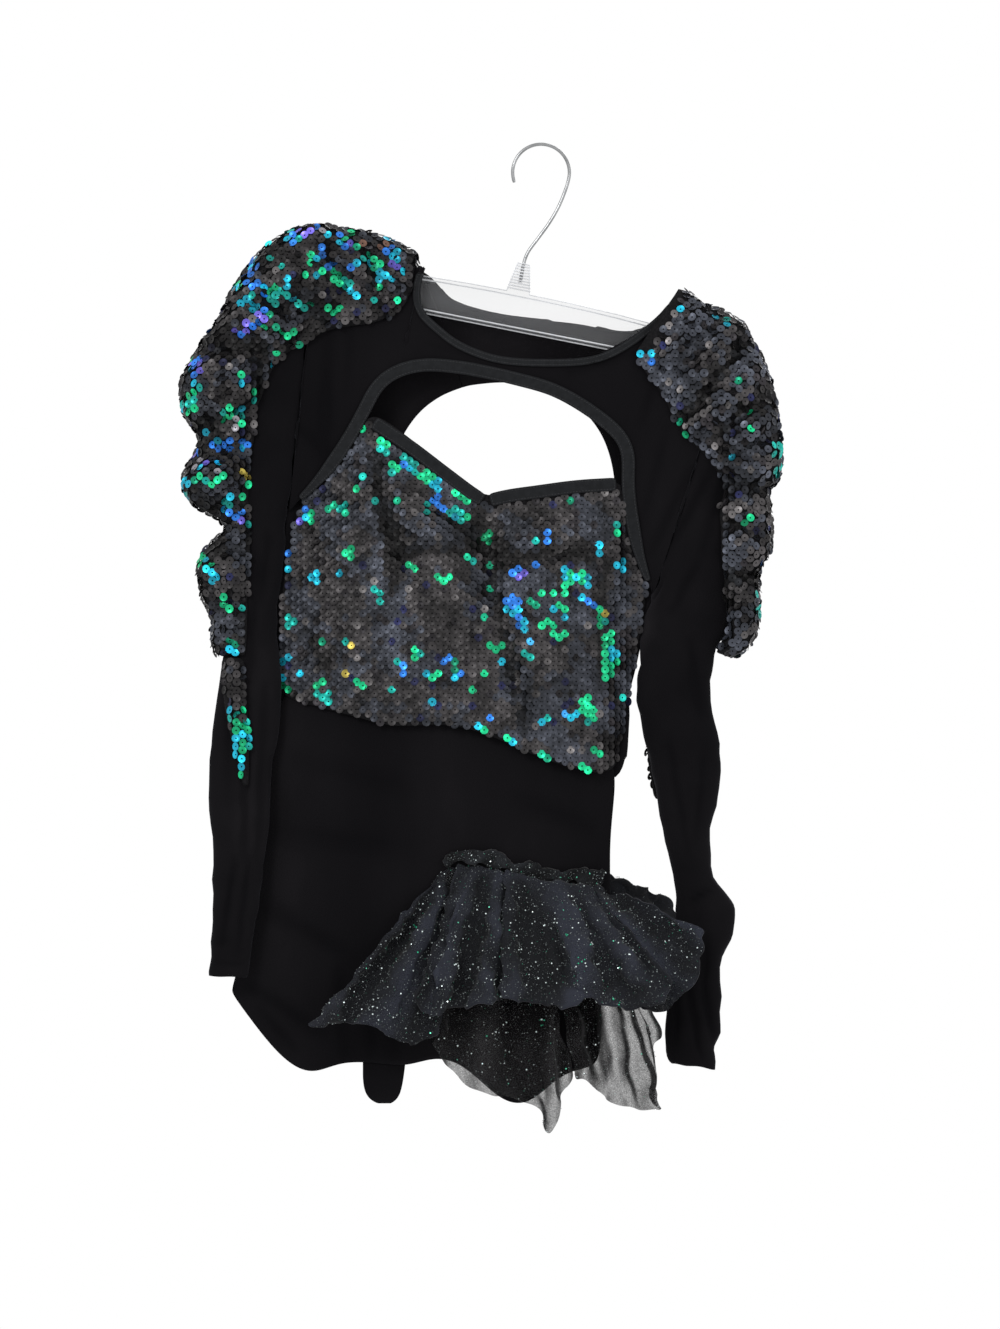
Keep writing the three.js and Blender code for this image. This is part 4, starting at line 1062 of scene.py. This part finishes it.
LEFT_RUFFLE_ZONES = zone_rows(
    (-97, -76, -88, -93, 9, 0.35, ""),
    (-205, -87, -184, -88, 7, 0.5, "brown"),
    (-181, -108, -164, -124, 9, 0.25, ""),
    (-256, -144, -227, -142, 7, 0.45, "brown"),
    (-217, -152, -208, -154, 5, 0.2, ""),
    (-214, -162, -211, -179, 4, 0.3, ""),
    (-253, -206, -242, -220, 5, 0.25, ""),
    (-262, -208, -253, -224, 5, 0.6, "brown"),
    (-262, -264, -236, -274, 8, 0.25, ""),
    (-235, -234, -226, -244, 5, 0.5, "brown"),
    (-158, -78, -136, -82, 5, 0.5, "brown"),
    (-239, -174, -220, -170, 6, 1.2, "slate"),
    (-237, -190, -222, -194, 6, 0.9, "brown"),
    (-238, -280, -218, -288, 5, 0.3, ""),
    (-127, -116, -112, -118, 8, 0.9, "brown"),
)
RIGHT_RUFFLE_ZONES = zone_rows(
    (107, -206, 149, -153, 4, 0.4, ""),
    (125, -224, 170, -187, 4, 0.4, ""),
    (136, -255, 175, -258, 5, 0.35, ""),
    (136, -280, 170, -296, 5, 0.45, ""),
    (136, -322, 164, -326, 5, 0.4, ""),
    (82, -170, 112, -149, 6, 0.7, ""),
    (149, -176, 168, -170, 8, 1.3, "slate"),
    (153, -213, 172, -220, 7, 1.2, "slate"),
)

BODICE_CLUSTERS = cluster_rows(
    (-122, -219, -116, -223, 3.5, 0.9, "green"),
    (-114, -230, -109, -249, 5, 0.7, "green teal green"),
    (-103, -233, -96, -243, 4.5, 0.8, "cyan blue teal"),
    (-88, -249, -73, -256, 5, 0.85, "blue green green cyan"),
    (-79, -266, -75, -270, 4, 0.9, "cyan blue"),
    (-90, -272, -85, -274, 4.5, 0.8, "green teal"),
    (-71, -274, -59, -279, 5, 0.9, "cyan green teal"),
    (-62, -261, -56, -265, 3.5, 0.8, "green"),
    (-181, -271, -176, -279, 6, 0.9, "violet green cyan blue"),
    (-158, -271, -143, -275, 5, 0.5, "emerald teal"),
    (-139, -258, -138, -259, 3.5, 1, "green"),
    (-144, -304, -142, -309, 3.5, 0.9, "green"),
    (-169, -323, -167, -324, 3.2, 1, "cyan"),
    (-189, -350, -188, -360, 4, 0.8, "green teal"),
    (-192, -382, -182, -392, 5, 0.6, "green cyan"),
    (-193, -400, -188, -405, 5, 0.7, "cyan green"),
    (-166, -404, -160, -417, 5, 0.75, "green teal"),
    (-142, -374, -142, -374, 3, 1, "gold"),
    (-147, -396, -146, -397, 3, 1, "gold"),
    (-138, -400, -136, -404, 4, 0.9, "green"),
    (-104, -387, -104, -394, 4, 0.8, "blue teal"),
    (-94, -376, -91, -387, 4, 0.7, "green teal"),
    (-86, -397, -80, -394, 4.5, 0.8, "cyan green"),
    (-69, -386, -64, -394, 5, 0.6, "blue cyan emerald"),
    (-37, -376, -31, -375, 3.5, 0.9, "cyan green"),
    (-133, -429, -121, -434, 4, 0.5, "teal green"),
    (-52, -437, -44, -437, 3.5, 0.8, "cyan green"),
    (-22, -446, -16, -452, 4.5, 0.8, "green cyan"),
    (-3, -458, 2, -459, 3.5, 0.7, "emerald"),
    (25, -466, 37, -469, 4, 0.8, "green"),
    (32, -418, 36, -426, 5.5, 0.8, "green emerald"),
    (20, -426, 24, -427, 3.5, 0.9, "blue cyan"),
    (5, -426, 7, -427, 3.2, 0.9, "teal"),
    (44, -429, 44, -442, 3.5, 0.7, "gold green"),
    (42, -453, 43, -454, 3.2, 0.9, "green"),
    (-25, -340, -20, -344, 4.5, 0.95, "blue"),
    (-21, -348, -12, -363, 4.8, 0.9, "blue cyan"),
    (-11, -382, -10, -384, 3.4, 1, "teal"),
    (19, -322, 23, -326, 5, 0.8, "green cyan"),
    (14, -332, 12, -342, 5, 0.8, "green"),
    (31, -324, 32, -340, 4, 0.7, "blue cyan green"),
    (-8, -342, -2, -338, 4, 0.6, "emerald green"),
    (11, -348, 16, -350, 4.5, 0.7, "green cyan"),
    (4, -359, 14, -366, 4.5, 0.7, "green"),
    (46, -350, 47, -364, 5, 0.7, "green teal gold"),
    (48, -368, 53, -382, 5.5, 0.95, "cyan green"),
    (52, -384, 50, -396, 5.5, 0.95, "green"),
    (54, -274, 57, -290, 4, 0.6, "green teal"),
    (59, -314, 60, -315, 3.4, 1, "cyan"),
    (44, -302, 44, -304, 3.4, 1, "cyan"),
    (47, -262, 50, -268, 4, 0.5, "emerald"),
    (4, -293, 4, -294, 3.6, 1, "blue cyan"),
    (-40, -293, -40, -294, 3.6, 1, "green"),
    (-56, -308, -52, -318, 4, 0.6, "teal emerald"),
    (-42, -315, -38, -333, 4, 0.5, "cyan blue emerald"),
    (-20, -318, -16, -322, 4.5, 0.7, "blue violet"),
    (-74, -324, -71, -326, 3.6, 1, "green"),
    (-97, -316, -94, -318, 3.6, 0.9, "green"),
    (-121, -335, -116, -340, 5, 0.5, "teal"),
)
LEFT_RUFFLE_CLUSTERS = cluster_rows(
    (-188, -64, -184, -72, 5.7, 0.85, "cyan blue teal"),
    (-179, -68, -169, -64, 4.1, 0.85, "violet blue"),
    (-168, -62, -163, -65, 3.7, 0.9, "copper pale copper"),
    (-166, -75, -161, -78, 3.7, 0.8, "blue"),
    (-155, -69, -149, -75, 4.9, 0.8, "cyan blue green"),
    (-142, -64, -141, -67, 3.3, 0.9, "green"),
    (-143, -74, -134, -76, 4.1, 0.8, "violet pale blue"),
    (-134, -76, -112, -76, 3.3, 0.8, "copper pale copper"),
    (-115, -72, -112, -81, 4.9, 0.85, "cyan blue"),
    (-112, -81, -104, -94, 4.9, 0.85, "violet blue cyan"),
    (-217, -88, -218, -104, 6.6, 0.9, "blue cyan blue"),
    (-226, -108, -217, -123, 5.7, 0.75, "green violet cyan"),
    (-217, -108, -196, -114, 6.6, 0.8, "cyan teal green blue"),
    (-202, -114, -200, -118, 4.9, 0.9, "green"),
    (-194, -111, -176, -121, 3.7, 1, "cyan teal"),
    (-212, -124, -208, -130, 5.7, 0.85, "violet blue cyan"),
    (-226, -141, -214, -136, 4.9, 0.85, "violet blue"),
    (-208, -128, -199, -134, 4.9, 0.7, "teal emerald"),
    (-171, -84, -167, -94, 4.9, 0.85, "green cyan"),
    (-157, -92, -146, -104, 5.7, 0.8, "blue teal green"),
    (-142, -110, -140, -112, 3.3, 1, "cyan"),
    (-181, -93, -178, -96, 3.3, 0.9, "green"),
    (-203, -88, -191, -92, 3.7, 0.6, "emerald teal"),
    (-142, -90, -134, -87, 3.7, 0.8, "teal cyan"),
    (-130, -87, -122, -93, 5.3, 0.85, "green emerald cyan"),
    (-121, -104, -115, -100, 4.1, 0.85, "green cyan"),
    (-112, -111, -109, -113, 3.7, 0.9, "green cyan"),
    (-130, -112, -128, -115, 3.7, 0.9, "cyan teal"),
    (-160, -118, -154, -123, 4.1, 0.8, "green"),
    (-190, -104, -188, -106, 3.3, 1, "cyan"),
    (-199, -142, -188, -142, 4.1, 0.8, "green teal"),
    (-199, -154, -197, -156, 3.3, 1, "green"),
    (-204, -163, -202, -165, 3.1, 1, "cyan"),
    (-256, -166, -260, -180, 5.7, 0.9, "blue cyan violet"),
    (-259, -184, -263, -196, 5.7, 0.85, "green teal cyan"),
    (-263, -162, -261, -164, 3.3, 1, "green"),
    (-224, -177, -216, -190, 4.1, 0.7, "cyan teal green"),
    (-235, -204, -227, -200, 5.3, 0.85, "cyan green teal"),
    (-229, -208, -224, -211, 3.7, 0.9, "green pale"),
    (-250, -214, -245, -220, 4.5, 0.85, "blue cyan"),
    (-244, -225, -221, -224, 4.5, 0.9, "cyan blue blue"),
    (-261, -230, -251, -237, 4.9, 0.6, "violet blue"),
    (-251, -240, -241, -242, 4.5, 0.8, "cyan blue pale"),
    (-262, -242, -253, -237, 3.3, 0.6, "pale"),
    (-254, -246, -247, -250, 4.5, 0.85, "green teal"),
    (-245, -254, -239, -249, 4.5, 0.85, "green"),
    (-266, -254, -263, -260, 4.1, 0.8, "teal cyan"),
    (-223, -245, -221, -247, 3, 1, "gold"),
    (-220, -250, -218, -256, 3.7, 0.85, "green"),
    (-235, -269, -220, -262, 4.5, 0.85, "cyan teal green"),
    (-232, -276, -224, -279, 3.7, 0.8, "violet blue"),
    (-253, -310, -245, -322, 4.9, 0.6, "cyan green"),
    (-237, -340, -226, -350, 4.1, 0.5, "green teal"),
    (-235, -370, -226, -378, 4.1, 0.6, "cyan emerald"),
)
TAIL_CLUSTERS = cluster_rows(
    (-227, -427, -220, -446, 7, 0.75, "green cyan teal"),
    (-224, -453, -220, -481, 7, 0.85, "green cyan"),
)
RIGHT_RUFFLE_CLUSTERS = cluster_rows(
    (71, -153, 89, -162, 6, 0.5, "blue cyan"),
    (94, -195, 107, -212, 6, 0.5, "green emerald"),
    (134, -132, 139, -138, 5, 0.6, "teal cyan"),
    (155, -206, 161, -212, 5, 0.5, "green"),
    (175, -228, 178, -243, 5, 0.5, "teal"),
    (152, -280, 158, -288, 5, 0.5, "green cyan"),
    (157, -340, 161, -348, 5, 0.5, "teal"),
)


RUFFLE_RAG = 1.8  # how far the ruffles' ragged edges of sequins come and go
TAIL_RAG = 1.5


def all_sequins(cloth, bindings):
    covers = skin_tree(*bindings.values())
    bodice = painter(BODICE_CLUSTERS, BODICE_ZONES, 0.022, 1, cool=0.0)
    left = painter(LEFT_RUFFLE_CLUSTERS, LEFT_RUFFLE_ZONES, 0.015, 2, share=0.9)
    right = painter(RIGHT_RUFFLE_CLUSTERS, RIGHT_RUFFLE_ZONES, 0.012, 3, 1.6, -0.05)
    jobs = rows(
        "name facings paint creases ragged tilt",
        ("bodice", FRONT_AND_SIDES, bodice, BODICE_CREASES, 0.0, BODICE_TILT),
        ("ruffle_left", ALL_ROUND, left, LEFT_RUFFLE_CREASES, RUFFLE_RAG, RUFFLE_TILT),
        ("ruffle_right", ALL_ROUND, right, RIGHT_RUFFLE_CREASES, RUFFLE_RAG, RUFFLE_TILT),
        ("ruffle_left_tail", ALL_ROUND, painter(TAIL_CLUSTERS, (), 0.05, 4), (), TAIL_RAG, RUFFLE_TILT),
        ("ruffle_right_tail", ALL_ROUND, painter((), (), 0.02, 5), (), TAIL_RAG, RUFFLE_TILT),
    )
    for seed, job in enumerate(jobs, 11):
        name = job.pop("name")
        sequins(name + "_sequins", cloth[name], seed=seed, covers=covers, **job)


# Tulle

TULLE_FOLDS = {
    "bustle_centre": crease_rows(
        (-55, -550, -76, -629, 7, -5),
        (-43, -549, -53, -633, 6, 5),
        (-34, -550, -37, -633, 5, -4),
        (-62, -554, -88, -618, 6, 4),
        (-50, -566, -64, -640, 4, 3),
        (-25, -554, -25, -629, 4, 6),
    ),
    "bustle_right": crease_rows(
        (-14, -556, -11, -629, 5, 7),
        (-2, -560, 5, -629, 7, 5),
        (14, -566, 37, -629, 14, -7),
        (37, -566, 74, -629, 12, -5),
        (8, -558, 22, -633, 5, 3),
        (26, -562, 53, -637, 5, 3),
        (44, -569, 86, -622, 5, 3.5),
    ),
    "bustle_left": crease_rows(
        (-76, -550, -147, -648, 6, 5),
        (-72, -554, -117, -656, 6, -5),
        (-64, -550, -94, -663, 5, 5),
        (-83, -554, -162, -640, 4, -3),
    ),
    "bustle_side": crease_rows(
        (44, -560, 104, -633, 6, -4),
        (48, -558, 116, -603, 5, 4),
        (33, -562, 82, -640, 5, 3),
    ),
    "bustle_under_left": crease_rows(
        (-64, -640, -72, -686, 5, 3),
        (-46, -633, -47, -700, 6, -4),
        (-27, -633, -27, -708, 6, 4),
        (-4, -633, 3, -730, 6, 5),
        (7, -640, 9, -738, 4, -4),
    ),
    "bustle_under_right": crease_rows(
        (37, -640, 43, -704, 4, 4),
        (48, -640, 61, -716, 5, -4),
        (61, -640, 76, -719, 4, 5),
        (74, -640, 86, -716, 4, -3),
        (33, -648, 44, -700, 3, 3),
    ),
    "bustle_back": crease_rows(
        (-68, -550, -83, -629, 7, -5),
        (-38, -554, -38, -640, 6, 5),
        (-8, -554, -1, -644, 7, -5),
        (22, -554, 37, -644, 6, 5),
        (40, -554, 82, -640, 7, -5),
    ),
}

# Where each layer's pleats spread from, how far from there they start and are full, how many
# there are in a radian, and how deep they are.
TULLE_FANS = rows(
    "name x z start full pleats depth",
    ("bustle_centre", -41, -495, 45, 130, 26, 2.6),
    ("bustle_right", -8, -510, 40, 130, 15, 2.4),
    ("bustle_left", -47, -522, 25, 120, 17, 3.0),
    ("bustle_side", 18, -540, 20, 90, 15, 2.4),
    ("bustle_under_left", -27, -460, 120, 240, 34, 2.8),
    ("bustle_under_right", 14, -476, 120, 230, 30, 2.6),
    ("bustle_back", -8, -460, 80, 180, 30, 3.4),
)

SHEER_LAYERS = ("bustle_under_left", "bustle_under_right")
# How deep each kind's wide and narrow waves are, and the size and depth of those in its edges
SHEER_HANG = dict(kind=SHEER_NET, wide=2.4, narrow=0.6, drift=(14, 2.0))
DENSE_HANG = dict(kind=DENSE_NET, wide=3.0, narrow=1.6, drift=(9, 3.8))


def tulle_pieces():
    fans = {row["name"]: row for row in TULLE_FANS}
    found = {}
    for seed, (name, table) in enumerate(TULLE_FOLDS.items()):
        hang = SHEER_HANG if name in SHEER_LAYERS else DENSE_HANG
        sides = ((), table) if name == "bustle_back" else (table, ())
        waves = [(34, hang["wide"], 30 + seed), (13, hang["narrow"], 40 + seed)]
        folds = folded(*sides, waves, fans[name], seed)
        found[name] = shell(name, hang["kind"], 3, folds, (*hang["drift"], 70 + seed))
    gathers = folded(waves=[(12, 5.5, 50), (5, 2.6, 51)])
    found["bustle_heading"] = shell("bustle_heading", HEADING_NET, 3, gathers, (12, 6.0, 52))
    return found


# Glitter: small flakes just off both sides of the tulle, that face the front or the back

# Flakes on each square millimetre of tulle
DENSE_GLITTER = 0.24
SHEER_GLITTER = 0.1
HEADING_GLITTER = 0.4
# Of the flakes, how many look dark and how light those are, and from where on they are bright
DENSE_DARK = (0.6, 0.1)
SHEER_DARK = (0.5, 0.03)
BRIGHT_FROM = 0.95
DARK_SHADES, PLAIN_SHADES, BRIGHT_SHADES = (0.3, 1.0), (0.08, 0.4), (0.6, 1.0)
SMALL_FLAKES, LARGE_FLAKES, EMERALD_FLAKES = (0.22, 0.34), (0.36, 0.6), (0.45, 0.7)  # radii
FLAKE_CORNERS = tuple(i * math.tau / 6 for i in range(6))
FLAKE_LIFT = 0.9
FLAKE_TILT = 0.35
OUTSIDE_SHARE = 0.75  # of the flakes, how many lie outside the layer
COOL_TINT, GREEN_TINT, EMERALD_TINT = (0.88, 1.0, 1.0), (0.2, 0.9, 0.6), (0.03, 0.5, 0.27)
GREEN_SHARE = 0.08
EMERALD_REACH = 4  # how far from its spot the emerald glitter spreads
EMERALD_SHARE = 0.25
EMERALD_SPOTS = rows(
    "x z",
    (-94, -586), (28, -607), (2, -655), (4, -662), (-50, -667), (-42, -668),
    (-12, -688), (57, -643), (-4, -645), (-92, -601), (53, -640), (19, -592),
)


def skin_samples(obj, draw, density):
    """Random places on the outer skin of a shell, as points in mm and normals."""
    mesh = obj.data
    mesh.calc_loop_triangles()
    skin = obj["skin_points"]
    triangles = [t for t in mesh.loop_triangles if max(t.vertices) < skin]
    areas = [t.area for t in triangles]
    total = sum(areas) / MM**2
    for triangle in draw.choices(triangles, areas, k=int(density * total)):
        a, b, c = (mesh.vertices[i].co for i in triangle.vertices)
        u, v = draw.random(), draw.random()
        if u + v > 1:
            u, v = 1 - u, 1 - v
        yield (a + u * (b - a) + v * (c - a)) / MM, triangle.normal


def flake_look(place, draw, dark_share, dark_level):
    """A flake's radius and tint."""
    level = draw.random()
    if level < dark_share:
        size, shade = draw.uniform(*SMALL_FLAKES), dark_level * draw.uniform(*DARK_SHADES)
    elif level < BRIGHT_FROM:
        size, shade = draw.uniform(*SMALL_FLAKES), draw.uniform(*PLAIN_SHADES)
    else:
        size, shade = draw.uniform(*LARGE_FLAKES), draw.uniform(*BRIGHT_SHADES)
    spot = min(math.hypot(place.x - s["x"], place.z - s["z"]) for s in EMERALD_SPOTS)
    if spot < EMERALD_REACH and draw.random() < EMERALD_SHARE:
        return draw.uniform(*EMERALD_FLAKES), EMERALD_TINT
    kind = GREEN_TINT if draw.random() < GREEN_SHARE else COOL_TINT
    return size, tuple(shade * c for c in kind)


def glitter(name, obj, seed, density, dark_share, dark_level):
    draw = random.Random(seed)
    face = [tuple(range(len(FLAKE_CORNERS)))]
    groups = []
    for place, normal in skin_samples(obj, draw, density):
        lift = FLAKE_LIFT if draw.random() < OUTSIDE_SHARE else -FLAKE_LIFT
        size, tint = flake_look(place, draw, dark_share, dark_level)
        a, b, _ = turned(FRONT if normal.y < 0 else BACK, draw, FLAKE_TILT)
        centre = place + lift * Vector(normal)
        part = [centre + size * (math.cos(t) * a + math.sin(t) * b) for t in FLAKE_CORNERS]
        groups.append((part, face, tint, 0))
    small_parts(name, groups, "tulle", GLITTER)


def all_glitter(tulle):
    densities = dict.fromkeys(tulle, DENSE_GLITTER) | dict.fromkeys(SHEER_LAYERS, SHEER_GLITTER)
    densities["bustle_heading"] = HEADING_GLITTER
    for seed, name in enumerate(sorted(tulle), 60):
        dark = SHEER_DARK if name in SHEER_LAYERS else DENSE_DARK
        glitter(name + "_glitter", tulle[name], seed, densities[name], *dark)


# Hanger

HANGER_PLACE = (-20, -124)
HANGER_TILT = 0.195
WEB_HALF = 1.0
BAR_HALF_HEIGHT = 14.5
BOSS_HEIGHT = 23.0
BOSS_TOP = 4.6
BOSS_BASE = 9.0
BOSS_HALF_DEPTH = 4.5
RIBS = 9
RIB_HALF = 0.35
RIB_STAND = 0.3
RIB_TINT = (0.6, 0.62, 0.64)
SOFT_EDGE = 0.45
EDGE_TURN = math.radians(40)
LEVEL_TURN = math.radians(1)
WIRE_TURN = math.radians(30)
WEB_SLOT, EDGE_SLOT, FLANGE_SLOT, BOSS_SLOT = range(4)
CLEARANCE = 0.5  # a boss's face lies at least this far above the bar
NEAR_WEB = 0.1
SQUARELY = 0.9  # how squarely the web's faces look forwards or back


def in_hanger(point):
    """A point in metres as (along the bar, depth, up from its middle) in millimetres."""
    x, y, z = (c / MM for c in point)
    x, z = x - HANGER_PLACE[0], z - HANGER_PLACE[1]
    cos, sin = math.cos(HANGER_TILT), math.sin(HANGER_TILT)
    return x * cos - z * sin, y, x * sin + z * cos


def from_hanger(x, y, z):
    """The opposite of in_hanger, still in millimetres."""
    cos, sin = math.cos(HANGER_TILT), math.sin(HANGER_TILT)
    return Vector((x * cos + z * sin + HANGER_PLACE[0], y, -x * sin + z * cos + HANGER_PLACE[1]))


def boss_ribs():
    """Thin raised ribs across the boss, one above the other."""
    faces = [*OPEN_BOX, (7, 6, 5, 4)]
    deep = BOSS_HALF_DEPTH + RIB_STAND
    groups = []
    for i in range(RIBS):
        share = (i + 1) / (RIBS + 1)
        height = BAR_HALF_HEIGHT + share * (BOSS_HEIGHT - 1)
        wide = BOSS_BASE + (BOSS_TOP - BOSS_BASE) * share + RIB_STAND
        corners = [
            from_hanger(x * wide, y * deep, height + z) for z in (RIB_HALF, -RIB_HALF) for x, y in AROUND
        ]
        groups.append((corners, faces, RIB_TINT, 0))
    ribs = small_parts("hanger_boss_ribs", groups, "clear_plastic", CLEAR_EDGE)
    smooth(ribs.data, False)


def hard_piece(name, node_name, refine, *materials):
    """A copy of a hard solid whose faces a function has refined."""
    obj = add_object(name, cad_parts[node_name].data.copy())
    bm = bmesh.new()
    bm.from_mesh(obj.data)
    bmesh.ops.remove_doubles(bm, verts=bm.verts, dist=WELD)
    refine(bm)
    bm.to_mesh(obj.data)
    bm.free()
    obj.data.materials.clear()
    for material in materials:
        obj.data.materials.append(material)
    return obj


def level_faces(bm):
    """Joins the bar's level faces and tells web, flanges and boss apart."""
    bmesh.ops.dissolve_limit(bm, angle_limit=LEVEL_TURN, verts=bm.verts, edges=bm.edges)
    for face in bm.faces:
        _, y, z = in_hanger(face.calc_center_median())
        if z > BAR_HALF_HEIGHT + CLEARANCE:
            face.material_index = BOSS_SLOT
        elif abs(y) < WEB_HALF + NEAR_WEB and abs(face.normal.y) > SQUARELY:
            face.material_index = WEB_SLOT
        else:
            face.material_index = FLANGE_SLOT


def hanger_pieces():
    plastics = (CLEAR_WEB, CLEAR_EDGE, CLEAR_FLANGE, CLEAR_BOSS)
    bar = hard_piece("hanger_bar_clear", "hanger_bar", level_faces, *plastics)
    edge = bar.modifiers.new("soft_edges", "BEVEL")
    edge.width = SOFT_EDGE * MM
    edge.segments = 2
    edge.limit_method = "ANGLE"
    edge.angle_limit = EDGE_TURN
    edge.material = EDGE_SLOT
    boss_ribs()
    hook = hard_piece("hanger_hook_wire", "hanger_hook", lambda bm: joined_quads(bm, WIRE_TURN), WIRE)
    subdivision(hook, 2)
    for piece, slot, node_name in ((bar, "clear_plastic", "hanger_bar"), (hook, "wire", "hanger_hook")):
        applied(piece)
        smooth(piece.data)
        belongs(piece, slot, node_name)


# Sheets: the size that each was cut to, in metres, its area, and how it hangs

SHEETS = rows(
    "name width length area held rests_on",
    ("front_yoke_velvet", 0.335, 0.26, 0.0275, "hung", "hanger_bar_clear"),
    ("back_velvet", 0.355, 0.4, 0.078, "hung", "hanger_bar_clear"),
    ("body_front_velvet", 0.29, 0.31, 0.071, "hung", "bodice_cloth"),
    ("body_back_velvet", 0.29, 0.3, 0.067, "hung", "back_velvet"),
    ("gusset_velvet", 0.032, 0.062, 0.0018, "folded", "body_front_velvet body_back_velvet"),
    ("sleeve_left_velvet", 0.2, 0.56, 0.052, "hung", "front_yoke_velvet back_velvet"),
    ("sleeve_right_velvet", 0.2, 0.56, 0.055, "hung", "front_yoke_velvet back_velvet"),
    ("neck_binding_front_folded", 0.01, 0.24, 0.0016, "folded", "front_yoke_velvet"),
    ("neck_binding_back_folded", 0.01, 0.21, 0.0014, "folded", "back_velvet"),
    ("keyhole_binding_folded", 0.0105, 0.42, 0.0043, "folded", "front_yoke_velvet bodice_cloth"),
    ("sweetheart_binding_left_folded", 0.0105, 0.1, 0.001, "folded", "bodice_cloth"),
    ("sweetheart_binding_right_folded", 0.0105, 0.095, 0.00095, "folded", "bodice_cloth"),
    ("bodice_cloth", 0.28, 0.27, 0.055, "gathered", "front_yoke_velvet back_velvet"),
    ("ruffle_left_cloth", 0.13, 0.46, 0.055, "gathered", "front_yoke_velvet sleeve_left_velvet"),
    ("ruffle_right_cloth", 0.13, 0.34, 0.038, "gathered", "front_yoke_velvet sleeve_right_velvet"),
    ("ruffle_left_tail_cloth", 0.022, 0.1, 0.0017, "hung", "sleeve_left_velvet"),
    ("ruffle_right_tail_cloth", 0.026, 0.11, 0.0022, "hung", "sleeve_right_velvet"),
    ("bustle_heading_tulle", 0.014, 0.14, 0.0019, "gathered", "body_front_velvet"),
    ("bustle_left_tulle", 0.13, 0.17, 0.0105, "gathered", "body_front_velvet"),
    ("bustle_centre_tulle", 0.11, 0.115, 0.0097, "gathered", "body_front_velvet"),
    ("bustle_right_tulle", 0.15, 0.115, 0.0135, "gathered", "body_front_velvet"),
    ("bustle_side_tulle", 0.12, 0.11, 0.0073, "gathered", "body_front_velvet"),
    ("bustle_under_left_tulle", 0.13, 0.2, 0.0168, "gathered", "body_front_velvet"),
    ("bustle_under_right_tulle", 0.1, 0.18, 0.0132, "gathered", "body_front_velvet"),
    ("bustle_back_tulle", 0.23, 0.12, 0.0237, "gathered", "body_back_velvet"),
)


# Stage


def area_light(name, place, aim, size, power):
    light = bpy.data.lights.new(name, "AREA")
    light.shape = "DISK"
    light.size = size
    light.energy = power
    obj = bpy.data.objects.new(name, light)
    obj.location = place
    obj.rotation_euler = (Vector(aim) - Vector(place)).to_track_quat("-Z", "Y").to_euler()
    bpy.context.scene.collection.objects.link(obj)


def floor_piece():
    bpy.ops.mesh.primitive_circle_add(
        vertices=96, radius=FLOOR_RADIUS, fill_type="NGON", location=(0, 0, FLOOR_Z)
    )
    floor = bpy.context.object
    floor.name = "floor"
    floor.data.materials.append(PALE_FLOOR)


def stage():
    floor_piece()
    scene = bpy.context.scene
    world = bpy.data.worlds.new("studio")
    world.use_nodes = True
    set_sockets(world.node_tree.nodes["Background"], Color=(1, 1, 1, 1), Strength=1.0)
    scene.world = world
    scene.view_settings.view_transform = "Standard"

    x, z = (c * MM for c in VIEW_CENTRE)
    area_light("key", (-1.3, -2.2, 0.9), (x, 0, z), 0.9, 26)
    area_light("fill", (1.6, -2.0, 0.0), (x, 0, z), 1.2, 9)
    area_light("back", (0.6, 2.0, 0.8), (x, 0, z), 1.2, 14)

    camera = bpy.data.cameras.new("camera")
    camera.sensor_fit = "VERTICAL"
    camera.sensor_height = SENSOR
    camera.lens = SENSOR * CAMERA_DISTANCE / (PHOTO_HEIGHT_MM * MM)
    view = bpy.data.objects.new("camera", camera)
    view.location = (x, -CAMERA_DISTANCE, z)
    view.rotation_euler = (math.radians(90), 0, 0)
    scene.collection.objects.link(view)
    scene.camera = view


velvet_pieces()
bindings = binding_pieces()
cloth = sequinned_pieces()
for name, piece in bindings.items():
    stitches(name + "_stitches", piece)
all_sequins(cloth, bindings)
all_glitter(tulle_pieces())
hanger_pieces()
stage()
